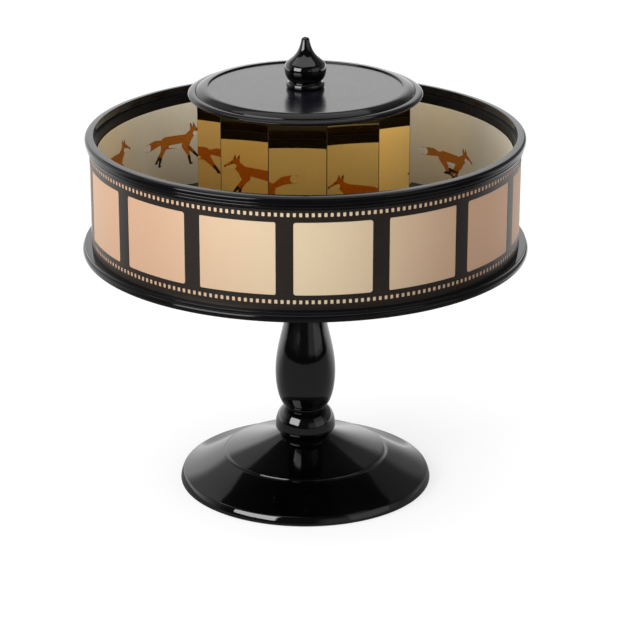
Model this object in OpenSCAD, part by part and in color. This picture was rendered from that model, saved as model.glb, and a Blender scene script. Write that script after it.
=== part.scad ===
// Praxinoscope: an open drum of pictures round a block of mirrors, spinning on a turned pedestal.
// Millimetres, +Z up. The origin is the middle of the foot's underside, and the front faces -Y.

/* [Base] */
// Diameter of the base at its edge
base_d = 164; // [145:1:190]
// Height of the flat on which the stem stands
base_h = 32.2; // [28:0.1:38]
// Height of the base's edge
base_edge_h = 5.2; // [4:0.1:8]
// How far the base's edge leans in at its top
base_edge_lean = 1.4; // [0.4:0.1:2.4]
// Radius of the base's upper edge
base_edge_round = 2.2; // [0.8:0.1:3]
// Radius of the base's lower edge
base_foot_round = 0.7; // [0.3:0.1:1.5]
// Diameter of the raised step
base_step_d = 104.6; // [90:0.2:120]
// Height of the step's upper edge
base_step_z = 20; // [17:0.1:23]
// Rise of the step
base_step_h = 1.4; // [0.8:0.1:2.4]
// Diameter of the flat on which the stem stands
base_seat_d = 32; // [28:0.5:38]
// How far the outer slope sags below a straight line near the edge
base_slope_sag = 0.9; // [0:0.1:2]
// How far the outer slope swells above a straight line near the step
base_slope_swell = 0.3; // [0:0.1:1]
// How far the inner cone sags below a straight line
base_sag = 1.2; // [0:0.1:3]
// Width of the underside left bare round the felt pad
felt_margin = 7.5; // [4:0.1:22]
// Thickness of the felt pad
felt_t = 1.5; // [1:0.1:3]
// How far the felt stands out of the underside
felt_proud = 0.3; // [0.1:0.1:0.8]

/* [Stem] */
// Diameter of the bead and of the belly
stem_d = 39; // [34:0.2:44]
// Diameter of the neck between the bead and the belly
stem_neck_d = 26; // [22:0.2:30]
// How far the bead and the belly curl in past the neck
stem_curl = 1.3; // [0.5:0.1:2]
// Height of the bead
bead_h = 18.1; // [14:0.1:24]
// Height from the fullest part of the bead up to the neck
bead_rise = 13.6; // [10:0.1:17]
// Height from the neck up to the fullest part of the belly
belly_rise = 24.7; // [18:0.1:32]
// Diameter of the waist under the drum
waist_d = 23.4; // [18:0.2:26]
// Height from the waist up to the stem's top
waist_drop = 28.2; // [20:0.1:36]
// Diameter of the collar at the stem's top
collar_d = 34; // [28:0.2:40]
// Height of the collar
collar_h = 5; // [3:0.1:8]
// Diameter of the tenon that stands in the base
tenon_d = 16; // [14:0.2:20]
// Length of the tenon
tenon_l = 14; // [8:0.2:18]

/* [Drum] */
// Height of the drum's underside
drum_z = 159.6; // [140:0.2:180]
// Outer diameter of the drum's wall, over the film band
drum_d = 272; // [240:1:300]
// Thickness of the floor's flange
flange_h = 6.2; // [5:0.1:10]
// How far the flange stands out past the film band
flange_out = 5.8; // [3:0.1:10]
// Height of the lip on top of the flange's bead
flange_lip_h = 1.4; // [1:0.1:2.5]
// How far the flange's bead stands out of the quirk under the lip
flange_bead_w = 2; // [1:0.1:2.5]
// How far the lip stands out of that quirk
flange_lip_w = 0.8; // [0.4:0.1:1.5]
// Height of the floor inside the wall above the flange
floor_rise = 2.4; // [1.5:0.1:5]
// Thickness of the wall hoop
hoop_t = 3.8; // [2.5:0.1:6]
// Height of the wall hoop
hoop_h = 65.2; // [60:0.2:80]
// Height of the rim above the hoop
rim_rise = 5.4; // [4:0.1:8]
// How far the rim reaches down outside the wall
rim_skirt = 3.1; // [2.5:0.1:5]
// How far the rim stands out past the film band
rim_out = 2.8; // [2:0.1:6]
// Height of the plain upper edge of the rim
rim_edge_h = 3.5; // [3:0.1:4.5]
// How far the rim's top falls from its inner to its outer edge
rim_fall = 0.4; // [0:0.1:1]
// Width of the hoop's top that shows inside the rim
rim_ledge = 1.7; // [0.5:0.1:2]
// Radius of the rim's outer upper edge
rim_round = 2; // [0.6:0.1:2.4]
// Height of the plain fillet under the rim's reeds
rim_fillet_h = 1; // [0.6:0.1:1.5]
// How far that fillet stands out past the film band
rim_fillet_w = 0.5; // [0.3:0.1:0.8]
// How far each reed of the rim stands out of its quirk
reed_w = 1; // [0.6:0.1:1.3]
// How far each reed steps in from the one above
reed_step = 0.5; // [0.2:0.1:0.7]

/* [Film band] */
// Thickness of the metallic band
foil_t = 0.3; // [0.2:0.05:0.6]
// Thickness of the dark film over it
film_t = 0.3; // [0.2:0.05:0.6]
// Distance from one frame to the next along the wall
frame_pitch = 57.9; // [48:0.1:70]
// Width of the dark bar between two frames
bar_w = 10.5; // [6:0.1:16]
// Height of a frame
frame_h = 45; // [36:0.2:52]
// How far the frames sit above the middle of the band that shows
frame_lift = 0.8; // [-3:0.1:3]
// Corner radius of a frame
frame_corner_r = 1.6; // [0.5:0.1:4]
// Turn of the first bar from the front, in degrees
bar_turn = -5.2; // [-12:0.1:12]

/* [Mirror block] */
// Number of mirrors
mirror_count = 12; // [10:1:16]
// Distance across the mirrors, face to face
mirror_af = 132.6; // [116:0.2:150]
// Thickness of a mirror
mirror_t = 2; // [1.5:0.1:4]
// Gap between the mitred edges of two mirrors
mirror_gap = 0.3; // [0.1:0.1:1]
// Turn of the first mirror from the front, in degrees
mirror_turn = -4.1; // [-15:0.1:15]
// Height of the block on the drum's floor
core_h = 92.2; // [76:0.2:110]
// Wall thickness of the block
core_wall = 8; // [7:0.2:12]

/* [Cap] */
// How far the cap stands out past the mirror block's corners
cap_out = 4.95; // [3:0.05:8]
// Thickness of the cap
cap_h = 5.2; // [4.4:0.1:8]
// How far the bead round the cap hangs down past the top of the mirror block
cap_drip_h = 1; // [0.4:0.1:2]
// Gap between that bead and the mirror block's corners
cap_drip_gap = 0.5; // [0.3:0.1:1]
// Height of that bead
cap_bead_h = 3.6; // [2.6:0.1:4.4]
// Depth of the groove inside that bead
cap_quirk_d = 0.4; // [0.2:0.1:0.6]
// Height of the raised ring's foot beside the groove
cap_foot_h = 0.9; // [0.5:0.1:1.2]
// Width of the raised ring
cap_ring_w = 7.75; // [5:0.05:10]
// Width of the ring's crest
cap_crest_w = 4.2; // [2:0.1:4.4]
// How far the crest falls to its outer edge
cap_crest_fall = 0.3; // [0:0.1:0.5]
// Depth of the flat field inside the ring
cap_recess = 0.9; // [0.4:0.1:1.5]
// Length of the spigot that fits into the block
spigot_h = 8; // [5:0.2:14]

/* [Finial] */
// Height of the finial
finial_h = 32.2; // [28:0.2:40]
// Diameter of the bulb
finial_d = 26.2; // [23:0.2:30]
// Height of the ring under the bulb
finial_ring_h = 3.9; // [3:0.1:6]
// Diameter of that ring
finial_ring_d = 24; // [21:0.2:27]
// How far that ring bulges
finial_ring_w = 0.9; // [0.4:0.1:1.8]
// Diameter of the neck between ring and bulb
finial_neck_d = 19.8; // [18:0.2:22]
// Height of that neck
finial_neck_h = 0.6; // [0.3:0.1:1.5]
// Height of the bulb from the neck to where it starts to sweep in
bulb_h = 11.4; // [10:0.1:16]
// Diameter of the tip
finial_tip_d = 5.4; // [4:0.1:7]

/* [Picture strip] */
// Height of the strip
strip_h = 57; // [40:0.5:60]
// Thickness of the strip
strip_t = 0.4; // [0.3:0.05:0.8]
// Gap between the strip and the wall
strip_gap = 0.4; // [0.3:0.05:1]
// Gap between the strip's two ends
strip_seam = 1; // [0.5:0.1:4]

/* [Spindle and bearing] */
// Diameter of the spindle
spindle_d = 8; // [6:0.5:10]
// Depth to which the spindle is sunk in the stem
spindle_sunk = 40; // [25:1:60]
// Length of the spindle's end above its nut
spindle_tail = 2; // [1:0.5:5]
// Wall thickness of the bush
bush_wall = 3; // [2:0.1:4]
// Diameter of the bush's flange
bush_flange_d = 24; // [22:0.5:30]
// Thickness of the bush's flange
bush_flange_t = 1.6; // [1:0.1:3]
// Diameter of the thrust washer
thrust_d = 28; // [22:0.5:34]
// Thickness of the thrust washer
thrust_t = 1.6; // [1:0.1:3]
// Diameter of the boss on the drum's floor
boss_d = 60; // [50:1:80]
// Height of the boss
boss_h = 14; // [11:0.5:24]
// Thickness of the washer under the spindle's nut
spindle_washer_t = 1.6; // [1:0.1:3]
// Width of that washer beyond the spindle
spindle_washer_w = 4; // [3:0.1:6]
// Height of the spindle's nut
spindle_nut_h = 6.5; // [5:0.1:9]

/* [Fasteners] */
// Diameter of the bolt under the base
bolt_d = 6; // [5:0.5:7]
// Height of the bolt's head
bolt_head_h = 4; // [3:0.1:5]
// Length of bolt inside the insert
bolt_grip = 14; // [8:0.5:17]
// Thickness of the bolt's washer
bolt_washer_t = 1.6; // [1:0.1:2.5]
// Diameter of the bolt's washer
bolt_washer_d = 18; // [15:0.5:22]
// Depth of the pocket for the bolt's head
bolt_pocket_h = 8; // [7.5:0.1:10]
// Room for a socket round the bolt's washer
bolt_room = 2; // [1:0.1:4]
// Wall thickness of the threaded insert
insert_wall = 1.8; // [1.2:0.1:2.4]
// Length of the threaded insert
insert_l = 18; // [18:0.5:24]
// Shank diameter of the wood screws
screw_d = 3.6; // [3:0.1:4.2]
// Head diameter of the wood screws
screw_head_d = 7; // [6:0.1:8]
// How far the wood screws reach up past the floor
screw_bite = 9.4; // [6:0.2:10]
// Number of screws in the boss
boss_screw_count = 3; // [3:1:6]
// Distance of the boss's screws from the axis
boss_screw_r = 22; // [19:0.5:23]
// Number of screws in the mirror block
core_screw_count = 6; // [4:1:8]
// Diameter of the finial's stud
stud_d = 5; // [4:0.5:6]
// Length of stud inside the finial
stud_grip = 14; // [8:0.5:18]
// Length of the stud's end below its nut
stud_tail = 2; // [1:0.5:4]
// Thickness of the stud's washer
stud_washer_t = 1; // [0.8:0.1:2]
// Width of that washer beyond the stud
stud_washer_w = 3.5; // [3:0.1:5]
// Height of the stud's nut
stud_nut_h = 4; // [3:0.1:6]

/* [Fits] */
// Clearance round what is glued, screwed or pressed in, each side
fit_gap = 0.05; // [0.02:0.01:0.1]
// Clearance round what slips in loosely, each side
slip_gap = 0.2; // [0.1:0.05:0.5]
// Radius of the small eased edges
arris_r = 0.5; // [0.3:0.05:0.7]
// Running clearance between spindle and bush, each side
run_gap = 0.05; // [0.02:0.01:0.1]
// Play of the drum along the spindle
end_float = 0.3; // [0.1:0.1:0.6]
// Gap between the mirrors' tops and the cap
mirror_top_gap = 0.3; // [0.1:0.1:1]

/* [Hidden] */
$fn = 160;
arc_steps = 8;
curve_steps = 16;
hex_sides = 6;
cut = 1;

// Stack of heights up the axis
neck_z = base_h + bead_h;
belly_z = neck_z + belly_rise;
stem_top_z = drum_z - bush_flange_t - thrust_t;
waist_z = stem_top_z - waist_drop;
flange_top_z = drum_z + flange_h;
floor_z = flange_top_z + floor_rise;
hoop_top_z = flange_top_z + hoop_h;
rim_top_z = hoop_top_z + rim_rise;
boss_top_z = floor_z + boss_h;
cap_z = floor_z + core_h;
field_z = cap_z + cap_h - cap_recess;

// Radii of the drum's layers, from outside in
film_r = drum_d / 2;
foil_r = film_r - film_t - fit_gap;
hoop_r = foil_r - foil_t - fit_gap;
hoop_in_r = hoop_r - hoop_t;
strip_r = hoop_in_r - strip_gap;
rim_in_r = hoop_in_r + rim_ledge;
rim_r = film_r + rim_out;
flange_r = film_r + flange_out;

// Mirror block, from outside in
mirror_apothem = mirror_af / 2;
core_apothem = mirror_apothem - mirror_t - fit_gap;
core_in_apothem = core_apothem - core_wall;
facet_angle = 360 / mirror_count;
mirror_w = 2 * mirror_apothem * tan(facet_angle / 2) - mirror_gap;
mirror_back_w = 2 * (mirror_apothem - mirror_t) * tan(facet_angle / 2) - mirror_gap;
mirror_h = core_h - mirror_top_gap;
core_corner_r = mirror_apothem / cos(facet_angle / 2);

// Cap and its moulding
cap_r = core_corner_r + cap_out;
cap_drip_r = core_corner_r + cap_drip_gap;
cap_quirk_r = cap_drip_r - cap_quirk_d;
cap_field_r = cap_quirk_r - cap_ring_w;
spigot_r = core_in_apothem - slip_gap;
spigot_z = cap_z - spigot_h;

// Spindle, bush and the pieces on them
bush_bore_r = spindle_d / 2 + run_gap;
bush_r = bush_bore_r + bush_wall;
spindle_washer_z = boss_top_z + end_float;
spindle_nut_z = spindle_washer_z + spindle_washer_t;
spindle_end_z = spindle_nut_z + spindle_nut_h + spindle_tail;

// Felt and bolt stack under the base
felt_r = base_d / 2 - felt_margin;
bolt_seat_z = felt_t + bolt_pocket_h;
bolt_head_z = bolt_seat_z - bolt_washer_t - bolt_head_h;
tenon_z = base_h - tenon_l;
insert_r = bolt_d / 2 + insert_wall;
bolt_pocket_r = bolt_washer_d / 2 + bolt_room;

// Stud stack under the finial
stud_washer_z = spigot_z - stud_washer_t;
stud_nut_z = stud_washer_z - stud_nut_h;

// Width across the corners of a nut or bolt head, for the diameter of its thread
hex_ratio = 1.9;

// Two rings of wood screws
core_screw_r = core_apothem - core_wall / 2;
screw_head_h = (screw_head_d - screw_d) / 2;
screw_l = flange_h + floor_rise + screw_bite;

// Frames of the film band as angles, with what is left for a short one where the ends meet
pitch_a = frame_pitch / film_r * 180 / PI;
bar_a = bar_w / film_r * 180 / PI;
frame_count = floor((360 - bar_a) / pitch_a);
short_a = 360 - frame_count * pitch_a - bar_a;
frame_z = flange_top_z + (hoop_h - rim_skirt) / 2 + frame_lift;
band_h = hoop_h - fit_gap;

lacquer = "#16161a";
satin_black = "#222226";
steel = "#a9adb3";
brass = "#c2a050";
raw_wood = "#b08a5a";

function mirror_name(i) = str("mirror_", i < 10 ? "0" : "", i);

// Points of an elliptical arc about centre c, from angle a0 to a1
function arc(c, rx, ry, a0, a1, n = arc_steps) =
    [for (i = [0:n]) let (a = a0 + (a1 - a0) * i / n) [c.x + rx * cos(a), c.y + ry * sin(a)]];

// Points of a cubic curve with end points a and d and handles b and c
function curve(a, b, c, d, n = curve_steps) =
    [for (i = [0:n]) let (t = i / n, s = 1 - t)
        s * s * s * a + 3 * s * s * t * b + 3 * s * t * t * c + t * t * t * d];

// A half-round bead that stands out w to radius r, from height z0 to z1, which may be the lower
function reed(r, w, z0, z1) = arc([r - w, (z0 + z1) / 2], w, (z1 - z0) / 2, -90, 90);

// A rectangle w by h with corners of radius r, about its middle
function rounded_rect(w, h, r) = [
    for (k = [0:3]) let (sx = (k == 0 || k == 3) ? 1 : -1, sy = k < 2 ? 1 : -1)
        each arc([sx * (w / 2 - r), sy * (h / 2 - r)], r, r, 90 * k, 90 * (k + 1))];

// A polygon of n sides with the given apothem, one side facing -Y before it is turned
function regular(n, apothem) =
    [for (i = [0:n - 1]) let (a = -90 + (i + 0.5) * 360 / n) apothem / cos(180 / n) * [cos(a), sin(a)]];

// A solid turned about the axis from its half outline
module turned(points) { rotate_extrude() polygon(points); }

// A flat ring from radius r0 to r1
module ring(r0, r1, z, h) { translate([0, 0, z]) difference() {
    cylinder(r = r1, h = h);
    translate([0, 0, -cut]) cylinder(r = r0, h = h + 2 * cut);
} }

// A hole about the axis, from z up by h
module hole(r, z, h) { translate([0, 0, z]) cylinder(r = r, h = h); }

// Copies round the axis, the first one at the front after a turn
module round_axis(count, turn, r) {
    for (i = [0:count - 1]) rotate([0, 0, turn + i * 360 / count]) translate([0, -r, 0]) children();
}

// A countersunk wood screw driven up from z, or its hole with a gap
module screw(z, gap = 0) {
    translate([0, 0, z]) {
        cylinder(r1 = screw_head_d / 2 + gap, r2 = screw_d / 2 + gap, h = screw_head_h);
        cylinder(r = screw_d / 2 + gap, h = screw_l + gap);
    }
}

// A six-sided nut or bolt head for a thread of diameter d
module hexagon(d, z, h) { translate([0, 0, z]) cylinder(r = d * hex_ratio / 2, h = h, $fn = hex_sides); }

// Felt disc under the base, open at the middle for the bolt
module felt_pad() {
    color("#2c3a31") ring(bolt_pocket_r, felt_r, 0, felt_t);
}

// Turned foot: leaning edge, outer slope, step, inner cone and a flat seat
module base() {
    edge_r = base_d / 2 - base_edge_lean;
    edge_z = felt_proud + base_edge_h;
    foot_c = [base_d / 2 - base_foot_round, felt_proud + base_foot_round];
    lean_a = atan(base_edge_lean / (edge_z - foot_c.y));
    step_r = base_step_d / 2;
    slope_r = step_r + base_step_h;
    seat_r = base_seat_d / 2;
    foot_z = base_step_z - base_step_h;
    slope_a = atan((foot_z - edge_z) / (edge_r - slope_r));
    low_a = lean_a / 2;
    high_a = 1.5 * lean_a;
    bow = (edge_z - foot_c.y) / 3;
    edge_low = foot_c + base_foot_round * [cos(low_a), sin(low_a)];
    edge_high = [edge_r, edge_z];
    round_c = edge_high - base_edge_round * [cos(high_a), sin(high_a)];
    brow = round_c + base_edge_round * [sin(slope_a), cos(slope_a)];
    outline = concat(
        [[0, felt_proud]],
        arc(foot_c, base_foot_round, base_foot_round, -90, low_a),
        curve(edge_low, edge_low + bow * [-sin(low_a), cos(low_a)],
              edge_high - bow * [-sin(high_a), cos(high_a)], edge_high),
        arc(round_c, base_edge_round, base_edge_round, high_a, 90 - slope_a),
        curve(brow,
              [(2 * brow.x + slope_r) / 3, (2 * brow.y + foot_z) / 3 - base_slope_sag],
              [(brow.x + 2 * slope_r) / 3, (brow.y + 2 * foot_z) / 3 + base_slope_swell],
              [slope_r, foot_z]),
        arc([step_r - base_step_h, foot_z], base_step_h, base_step_h, 0, 70, 4),
        curve([step_r - 2 * base_step_h, base_step_z],
              [(2 * step_r + seat_r) / 3, (2 * base_step_z + base_h) / 3 - base_sag / 2],
              [(step_r + 2 * seat_r) / 3, (base_step_z + 2 * base_h) / 3 - base_sag], [seat_r, base_h]),
        [[0, base_h]]);
    color(lacquer) difference() {
        turned(outline);
        hole(felt_r + fit_gap, -cut, felt_t + cut);
        hole(bolt_pocket_r, 0, bolt_seat_z);
        hole(bolt_d / 2 + slip_gap, 0, base_h);
        hole(tenon_d / 2 + fit_gap, tenon_z - fit_gap, base_h);
    }
}

// Bolt that pulls the stem down on the base
module base_bolt() {
    color(steel) {
        hexagon(bolt_d, bolt_head_z, bolt_head_h);
        hole(bolt_d / 2, bolt_head_z, tenon_z + bolt_grip - bolt_head_z);
    }
}

module base_washer() {
    color(steel) ring(bolt_d / 2 + fit_gap, bolt_washer_d / 2, bolt_seat_z - bolt_washer_t, bolt_washer_t);
}

// Threaded insert in the foot of the stem
module stem_insert() {
    color(brass) ring(bolt_d / 2 + fit_gap, insert_r, tenon_z, insert_l);
}

// Turned stem: tenon, bead, belly, waist and collar
module stem() {
    centre_r = stem_neck_d / 2 - stem_curl;
    swell = stem_d / 2 - centre_r;
    curl_a = acos(stem_curl / swell);
    bead_z = neck_z - bead_rise;
    tuck_a = 58;
    tuck_h = (bead_z - base_h) / sin(tuck_a);
    waist_r = waist_d / 2;
    collar_z = stem_top_z - collar_h;
    collar_w = collar_h / 2;
    outline = concat(
        [[0, tenon_z], [tenon_d / 2, tenon_z], [tenon_d / 2, base_h]],
        arc([centre_r, bead_z], swell, tuck_h, -tuck_a, 0, curve_steps),
        arc([centre_r, bead_z], swell, bead_rise, curl_a / curve_steps, curl_a, curve_steps),
        arc([centre_r, belly_z], swell, belly_rise, -curl_a, 0, curve_steps),
        [for (i = [1:curve_steps]) let (t = i / curve_steps)
            [(stem_d / 2 + waist_r) / 2 + (stem_d / 2 - waist_r) / 2 * cos(180 * t),
             belly_z + (waist_z - belly_z) * t]],
        curve([waist_r, waist_z], [waist_r, (waist_z + collar_z) / 2],
              [collar_d / 2 - 2 * collar_w, collar_z - collar_w], [collar_d / 2 - collar_w, collar_z]),
        reed(collar_d / 2, collar_w, collar_z, stem_top_z),
        [[0, stem_top_z]]);
    color(lacquer) difference() {
        turned(outline);
        hole(insert_r + fit_gap, tenon_z - cut, insert_l + cut);
        hole(spindle_d / 2 + fit_gap, stem_top_z - spindle_sunk, spindle_sunk + cut);
    }
}

// Shaft fixed in the stem, on which the drum turns
module spindle() {
    color(steel) hole(spindle_d / 2, stem_top_z - spindle_sunk, spindle_end_z - stem_top_z + spindle_sunk);
}

module thrust_washer() {
    color(brass) ring(bush_bore_r, thrust_d / 2, stem_top_z, thrust_t);
}

module spindle_washer() {
    color(steel) ring(spindle_d / 2 + fit_gap, spindle_d / 2 + spindle_washer_w, spindle_washer_z,
                      spindle_washer_t);
}

module spindle_nut() {
    color(steel) difference() {
        hexagon(spindle_d, spindle_nut_z, spindle_nut_h);
        hole(spindle_d / 2 + fit_gap, spindle_nut_z - cut, spindle_nut_h + 2 * cut);
    }
}

// Floor of the drum: a moulded flange and a raised disc that centres the wall hoop
module drum_floor() {
    quirk_z = flange_top_z - flange_lip_h;
    lip_r = flange_r - flange_bead_w + flange_lip_w;
    outline = concat(
        [[0, drum_z]],
        reed(flange_r, flange_bead_w, drum_z, quirk_z),
        [[lip_r, quirk_z]],
        arc([lip_r - arris_r, flange_top_z - arris_r], arris_r, arris_r, 0, 90, 4),
        [[hoop_in_r - fit_gap, flange_top_z], [hoop_in_r - fit_gap, floor_z], [0, floor_z]]);
    color(satin_black) difference() {
        turned(outline);
        hole(bush_r + fit_gap, drum_z - cut, flange_h + floor_rise + 2 * cut);
        round_axis(boss_screw_count, 0, boss_screw_r) screw(drum_z, fit_gap);
        round_axis(core_screw_count, mirror_turn, core_screw_r) screw(drum_z, fit_gap);
    }
}

// Boss on the floor that gives the bush its length
module hub_boss() {
    color(raw_wood) difference() {
        hole(boss_d / 2, floor_z, boss_h);
        hole(bush_r + fit_gap, floor_z - cut, boss_h + 2 * cut);
        round_axis(boss_screw_count, 0, boss_screw_r) screw(drum_z, fit_gap);
    }
}

// Flanged bush that runs on the spindle
module hub_bush() {
    low_z = drum_z - bush_flange_t;
    color(brass) difference() {
        union() {
            hole(bush_flange_d / 2, low_z, bush_flange_t);
            hole(bush_r, low_z, boss_top_z - low_z);
        }
        hole(bush_bore_r, low_z - cut, boss_top_z - low_z + 2 * cut);
    }
}

module hub_screws() {
    color(steel) round_axis(boss_screw_count, 0, boss_screw_r) screw(drum_z);
}

// Bent hoop that is the wall of the drum
module wall_hoop() {
    color(satin_black) ring(hoop_in_r, hoop_r, flange_top_z, hoop_h);
}

// Metallic band round the hoop
module foil_band() {
    color("#e0c49c") ring(hoop_r + fit_gap, foil_r, flange_top_z, band_h);
}

// Opening of one frame through the band, a degrees wide
module frame_opening(a, turn) {
    rotate([0, 0, turn]) translate([0, -film_r / 2, frame_z]) rotate([90, 0, 0])
        linear_extrude(height = film_r)
            polygon(rounded_rect(2 * film_r * sin(a / 2), frame_h, frame_corner_r));
}

// Dark film over the metallic band, open at each frame, its ends meeting at the back
module film_band() {
    first_a = bar_turn - floor(frame_count / 2) * pitch_a;
    color("#332c28") difference() {
        ring(foil_r + fit_gap, film_r, flange_top_z, band_h);
        for (i = [0:frame_count - 1]) frame_opening(pitch_a - bar_a, first_a + (i + 0.5) * pitch_a);
        if (short_a > pitch_a / 4) frame_opening(short_a, first_a - (short_a + bar_a) / 2);
    }
}

// Turned ring on the hoop: a top that falls outwards and a plain edge over two reeds
module rim_ring() {
    low_z = hoop_top_z - rim_skirt;
    reed_z = low_z + rim_fillet_h;
    edge_z = rim_top_z - rim_edge_h;
    mid_z = (reed_z + edge_z) / 2;
    skirt_r = film_r + fit_gap;
    fillet_r = skirt_r + rim_fillet_w;
    outline = concat(
        [[rim_in_r, hoop_top_z]],
        arc([rim_in_r + arris_r, rim_top_z - arris_r], arris_r, arris_r, 180, 90, 4),
        arc([rim_r - rim_round, rim_top_z - rim_fall - rim_round], rim_round, rim_round, 90, 0),
        [[rim_r, edge_z]],
        reed(rim_r - reed_step, reed_w, edge_z, mid_z),
        reed(rim_r - 2 * reed_step, reed_w, mid_z, reed_z),
        [[fillet_r, reed_z], [fillet_r, low_z], [skirt_r, low_z], [skirt_r, hoop_top_z]]);
    color(satin_black) turned(outline);
}

// Hollow block of flat sides that carries the mirrors
module mirror_core() {
    color(satin_black) difference() {
        rotate([0, 0, mirror_turn]) translate([0, 0, floor_z]) linear_extrude(core_h) difference() {
            polygon(regular(mirror_count, core_apothem));
            polygon(regular(mirror_count, core_in_apothem));
        }
        round_axis(core_screw_count, mirror_turn, core_screw_r) screw(drum_z, fit_gap);
    }
}

module core_screws() {
    color(steel) round_axis(core_screw_count, mirror_turn, core_screw_r) screw(drum_z);
}

// One pane with mitred sides, glued on the i-th side of the block
module mirror_pane(i) {
    color("#b99a52") rotate([0, 0, mirror_turn + (i - 1) * facet_angle])
        translate([0, -mirror_apothem, floor_z]) linear_extrude(mirror_h) polygon([
            [-mirror_w / 2, 0], [mirror_w / 2, 0],
            [mirror_back_w / 2, mirror_t], [-mirror_back_w / 2, mirror_t]]);
}

// Turned lid of the mirror block: flat field, ring that slopes down to a hanging bead, and a spigot
module cap() {
    ring_z = cap_z + cap_h;
    drip_z = cap_z - cap_drip_h;
    bead_z = drip_z + cap_bead_h;
    quirk_z = bead_z - cap_quirk_d;
    outline = concat(
        [[0, spigot_z], [spigot_r, spigot_z], [spigot_r, cap_z], [cap_drip_r, cap_z]],
        reed(cap_r, cap_r - cap_drip_r, drip_z, bead_z),
        [[cap_quirk_r, quirk_z], [cap_quirk_r - cap_quirk_d, quirk_z + cap_foot_h],
         [cap_field_r + cap_crest_w, ring_z - cap_crest_fall]],
        arc([cap_field_r + arris_r, ring_z - arris_r], arris_r, arris_r, 90, 180, 4),
        [[cap_field_r, field_z], [0, field_z]]);
    color(satin_black) difference() {
        turned(outline);
        hole(stud_d / 2 + fit_gap, spigot_z - cut, field_z - spigot_z + 2 * cut);
    }
}

// Turned onion-shaped knob on the cap
module finial() {
    ring_r = finial_ring_d / 2;
    neck_r = finial_neck_d / 2;
    bulb_r = finial_d / 2;
    tip_r = finial_tip_d / 2;
    tip_round = 0.8 * tip_r;
    ring_z = field_z + finial_ring_h;
    bulb_z = ring_z + finial_neck_h;
    sweep_z = bulb_z + bulb_h;
    tip_z = field_z + finial_h - tip_round;
    sweep_r = 0.918 * bulb_r;
    sweep_h = tip_z - sweep_z;
    outline = concat(
        [[0, field_z]],
        reed(ring_r, finial_ring_w, field_z, ring_z),
        [[neck_r, ring_z]],
        curve([neck_r, bulb_z], [neck_r + 0.96 * (bulb_r - neck_r), bulb_z + 0.17 * bulb_h],
              [bulb_r + 0.32 * (bulb_r - neck_r), bulb_z + 0.755 * bulb_h], [sweep_r, sweep_z]),
        curve([sweep_r, sweep_z], [0.73 * bulb_r, sweep_z + 0.21 * sweep_h],
              [1.7 * tip_r, sweep_z + 0.28 * sweep_h], [tip_r, tip_z]),
        arc([0, tip_z], tip_r, tip_round, 0, 90));
    color(lacquer) difference() {
        turned(outline);
        hole(stud_d / 2 + fit_gap, field_z - cut, stud_grip + cut);
    }
}

// Stud that holds the finial, with its washer and nut under the cap
module finial_stud() {
    stud_z = stud_nut_z - stud_tail;
    color(steel) hole(stud_d / 2, stud_z, field_z + stud_grip - stud_z - fit_gap);
}

module stud_washer() {
    color(steel) ring(stud_d / 2 + fit_gap, stud_d / 2 + stud_washer_w, stud_washer_z, stud_washer_t);
}

module stud_nut() {
    color(steel) difference() {
        hexagon(stud_d, stud_nut_z, stud_nut_h);
        hole(stud_d / 2 + fit_gap, stud_nut_z - cut, stud_nut_h + 2 * cut);
    }
}

// Strip of pictures that stands loose inside the wall, its ends meeting at the back
module picture_strip() {
    color("#efe9d8") difference() {
        ring(strip_r - strip_t, strip_r, floor_z, strip_h);
        translate([-strip_seam / 2, 0, floor_z - cut]) cube([strip_seam, drum_d, strip_h + 2 * cut]);
    }
}

felt_pad();
base();
base_bolt();
base_washer();
stem_insert();
stem();
spindle();
thrust_washer();
spindle_washer();
spindle_nut();
drum_floor();
hub_boss();
hub_bush();
hub_screws();
wall_hoop();
foil_band();
film_band();
rim_ring();
mirror_core();
core_screws();
cap();
finial();
finial_stud();
stud_washer();
stud_nut();
picture_strip();
for (i = [1:mirror_count]) mirror_pane(i);
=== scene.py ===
"""Looks of a praxinoscope: turned black lacquer, a perforated film band, amber mirrors, a printed strip.

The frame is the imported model's: +Z up, the front facing -Y. Sizes are millimetres, drawn in metres.
"""

import logging
import math
from abc import ABC, abstractmethod
from collections.abc import Callable, Iterator
from contextlib import contextmanager
from dataclasses import dataclass, field
from enum import Enum
from functools import cache

import bmesh
import bpy
from mathutils import Matrix, Vector


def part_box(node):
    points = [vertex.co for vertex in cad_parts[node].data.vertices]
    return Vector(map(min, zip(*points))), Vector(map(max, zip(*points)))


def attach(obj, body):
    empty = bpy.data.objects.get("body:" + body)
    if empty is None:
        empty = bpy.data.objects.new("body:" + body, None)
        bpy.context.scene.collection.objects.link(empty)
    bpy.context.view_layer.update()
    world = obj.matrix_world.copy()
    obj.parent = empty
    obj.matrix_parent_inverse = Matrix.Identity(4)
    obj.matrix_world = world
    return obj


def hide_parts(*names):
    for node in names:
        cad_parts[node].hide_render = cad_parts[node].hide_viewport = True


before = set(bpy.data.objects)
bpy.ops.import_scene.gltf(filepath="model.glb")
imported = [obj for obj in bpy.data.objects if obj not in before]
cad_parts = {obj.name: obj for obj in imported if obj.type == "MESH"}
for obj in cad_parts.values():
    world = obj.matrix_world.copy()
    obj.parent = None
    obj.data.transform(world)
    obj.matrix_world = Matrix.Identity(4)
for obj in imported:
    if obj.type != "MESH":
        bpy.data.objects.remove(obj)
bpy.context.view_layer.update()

MM = 0.001
# Vertices closer than this, in metres, are welded
WELD = 2e-6
# Within these, in millimetres, a point counts as at a height or edge, and as on a flat face
NEAR = 0.01
TOUCH = 0.001
FINE_STEPS = 232
SMALL_STEPS = 144
EASE_STEPS = 3
ARRIS_STEPS = 6
ROUND_STEPS = 8
SMOOTH_ANGLE = math.radians(32)
FLAT_ANGLE = math.radians(10)

log = logging.getLogger("praxinoscope")

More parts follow.
